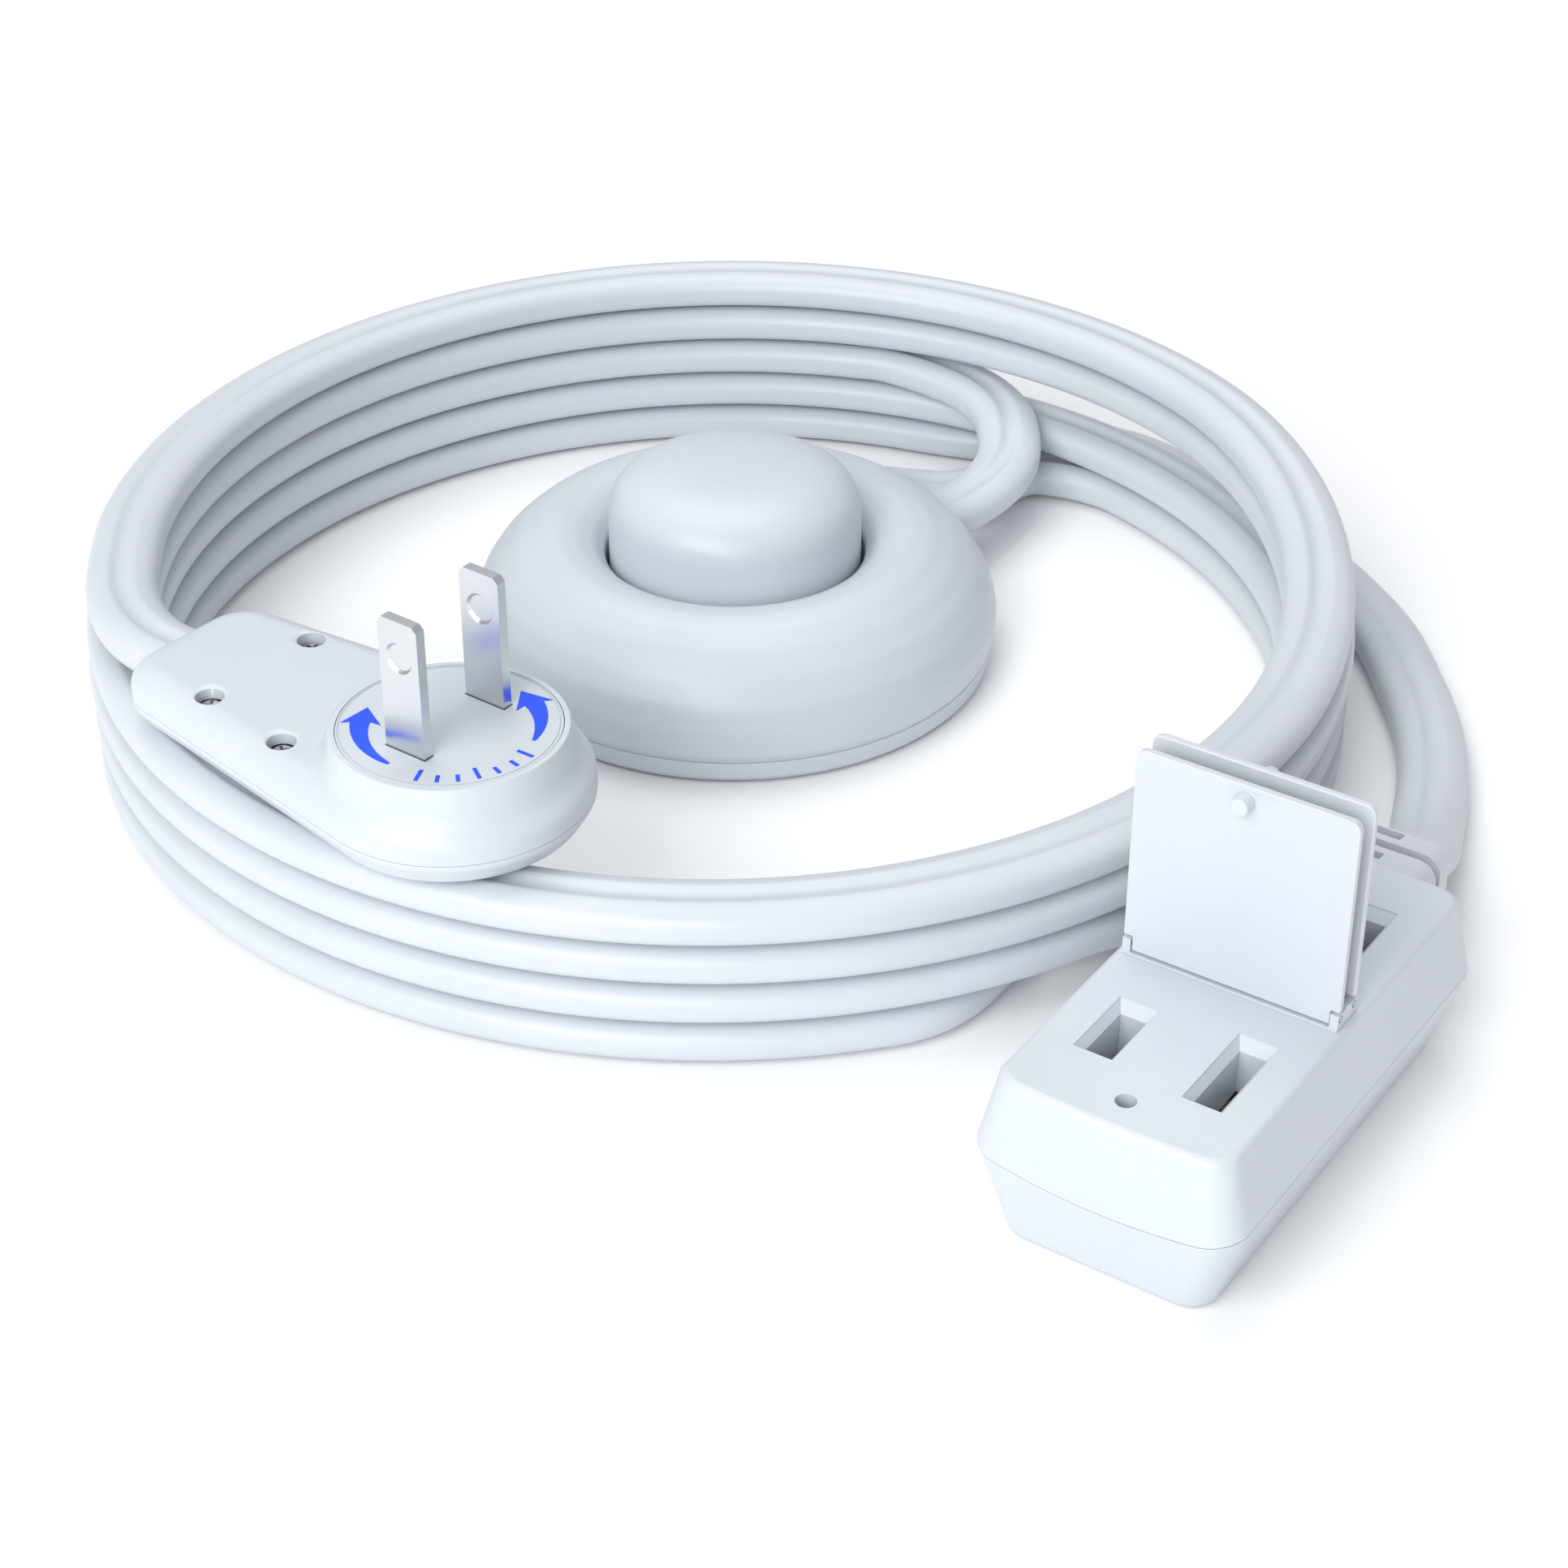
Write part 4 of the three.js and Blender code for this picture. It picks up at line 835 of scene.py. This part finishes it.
def bus_bar(side):
    """A strip on the floor of the block with a folded clip under each outlet's slot."""
    x, floor = side * BLADE_Y, 1.85
    clips = []
    for y in (-SLOT_Y, SLOT_Y):
        leaves = box((x - 2.0, y - 3.6, floor), (x + 2.0, y + 3.6, CONTACT_TOP))
        clips.append(cut(leaves, box((x - 0.9, y - 4, floor + 1.2), (x + 0.9, y + 4, CONTACT_TOP + 1))))
    return join(box((x - 2.4, -21, floor), (x + 2.4, 21, floor + 0.6)), *clips)


def strain_relief():
    """The slotted sleeve: a tapering block on the cord, cut from alternate sides down to its core."""
    middle_z = 11.4
    rings = []
    for t, shrink in ((0, 0.5), (0.04, 0.0), (0.96, 0.0), (1, 0.5)):
        half_width = 7.6 - 0.9 * t - shrink
        half_height = 6.4 - 1.0 * t - shrink
        ring = block_ring(half_width, half_height, 2.2, 0)
        rings.append([(x, RELIEF_START + (RELIEF_END - RELIEF_START) * t, middle_z + y) for x, y, _ in ring])
    body = loft("relief", rings)
    slots = []
    slot_width, slot_step = 1.5, 2.7
    for i in range(3):
        y = RELIEF_START + 1.6 + i * slot_step
        x0, x1 = (-1.5, 9) if i % 2 else (-9, 1.5)
        core = box((-4.6, RELIEF_START - 1, middle_z - 3.2), (4.6, RELIEF_END + 1, middle_z + 3.2))
        slots.append(cut(box((x0, y, 0), (x1, y + slot_width, 30)), core))
    neck = box((-5, 25.0, 7.6), (5, 29.5, 13.6))
    flange = box((-6.6, 23.7, 6.4), (6.6, 25.2, 14.8))
    return join(cut(body, *slots), join(neck, flange))


def hinge_bar():
    """A rib between the covers on a thin plate, with a knuckle at each corner for the hinge pins."""
    half, knuckle, foot = COVER_HALF_WIDTH, 0.9, BLOCK_TOP + 0.02
    rib = join(box((-half, -0.3, foot), (half, 0.3, 21.6)),
               box((-half, -2.3, foot), (half, 2.3, BLOCK_TOP + 0.3)))
    parts = []
    for end in (-1, 1):
        for side in (-1, 1):
            x0, x1 = sorted((side * (half - knuckle), side * half))
            y0, y1 = sorted((0, end * 2.2))
            parts.append(box((x0, y0, foot), (x1, y1, 21.4)))
    bores = [along_x(bar(0.45, -15, 15, sides=24), 0, end * FLAP_AXIS_Y, FLAP_AXIS_Z) for end in (-1, 1)]
    return cut(join(rib, *parts), *bores)


def cover(end):
    """A cover standing on its hinge, with its latch pin on the side that faces the outlet when it is shut."""
    half, foot, top, corner = COVER_HALF_WIDTH, 21.75, 44.15, 1.1
    outline = filleted([
        (0, foot), (half, foot), (half, top, corner), (-half, top, corner), (-half, foot), (0, foot),
    ])
    y, thick = end * (FLAP_AXIS_Y + 0.15), 0.4
    plate = loft("cover", [[(x, y + d, z) for x, z in outline[:-1]] for d in (-thick, thick)])
    web_half = half - 1.0
    web = box((-web_half, y - thick, 20.05), (web_half, y + thick, foot + 1))
    latch_z = FLAP_AXIS_Z + LATCH_Y - FLAP_AXIS_Y
    outward = Matrix.Translation((0, y, latch_z)) @ Matrix.Rotation(-end * math.pi / 2, 4, "X")
    pin = moved(bar(1.05, 0.2, 2.0, sides=40, end_radius=0.95), outward)
    return join(plate, web, pin)


def make_block():
    piece(block_lower(), "outlet_case_lower", block_at, "cord_set", "white_shell", "outlet_bottom_shell",
          bevel=0.1)
    piece(block_upper(), "outlet_case_upper", block_at, "cord_set", "white_shell", "outlet_top_shell",
          bevel=0.16)
    piece(strain_relief(), "outlet_cord_sleeve", block_at, "cord_set", "white_cord", "outlet_strain_relief",
          bevel=0.22)
    piece(hinge_bar(), "outlet_hinge_rail", block_at, "cord_set", "white_shell", "outlet_hinge_bar",
          bevel=0.1)
    for side, label in ((1, "line"), (-1, "neutral")):
        piece(bus_bar(side), f"outlet_contact_{label}", block_at, "cord_set", "brass", f"outlet_bus_{label}",
              bevel=0.05)
    for end, label in ((-1, "near"), (1, "far")):
        piece(cover(end), f"outlet_cover_{label}", block_at, f"flap_{label}", "white_shell",
              f"outlet_flap_{label}", bevel=0.14)


plug_pieces = make_plug()
make_switch()
make_block()

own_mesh(frame["nodes"]["switch_return_spring"])

# ---- Floor and light ---------------------------------------------------------------------------------------


def add_floor():
    reach = 3
    corners = [(-reach, -reach, 0), (reach, -reach, 0), (reach, reach, 0), (-reach, reach, 0)]
    floor = mesh_object("floor", corners, [(0, 1, 2, 3)])
    pale = procedural("pale_floor", (0.95, 0.955, 0.96), (0.96, 0.965, 0.97), 0.7, scale=3)
    floor.data.materials.append(pale)


def add_light(name, location, target, size, power):
    """A round soft lamp that faces its target."""
    data = bpy.data.lights.new(name, "AREA")
    data.shape = "DISK"
    data.size = size
    data.energy = power
    lamp = bpy.data.objects.new(name, data)
    lamp.location = location
    lamp.rotation_euler = (Vector(target) - Vector(location)).to_track_quat("-Z", "Y").to_euler()
    scene.collection.objects.link(lamp)


def add_world():
    world = bpy.data.worlds.new("world")
    scene.world = world
    world.use_nodes = True
    sky = world.node_tree.nodes["Background"]
    sky.inputs["Color"].default_value = (0.95, 0.97, 1.0, 1)
    sky.inputs["Strength"].default_value = 0.52


add_floor()
add_light("key", (-0.55, -0.8, 0.8), (0, 0, 0), 0.9, 8.0)
add_light("front", (-0.25, -1.1, 0.45), (0, 0, 0.02), 0.8, 5.0)
add_light("top", (-0.1, 0.35, 1.0), (0, 0, 0), 0.9, 4.5)
add_world()
scene.view_settings.view_transform = "Standard"
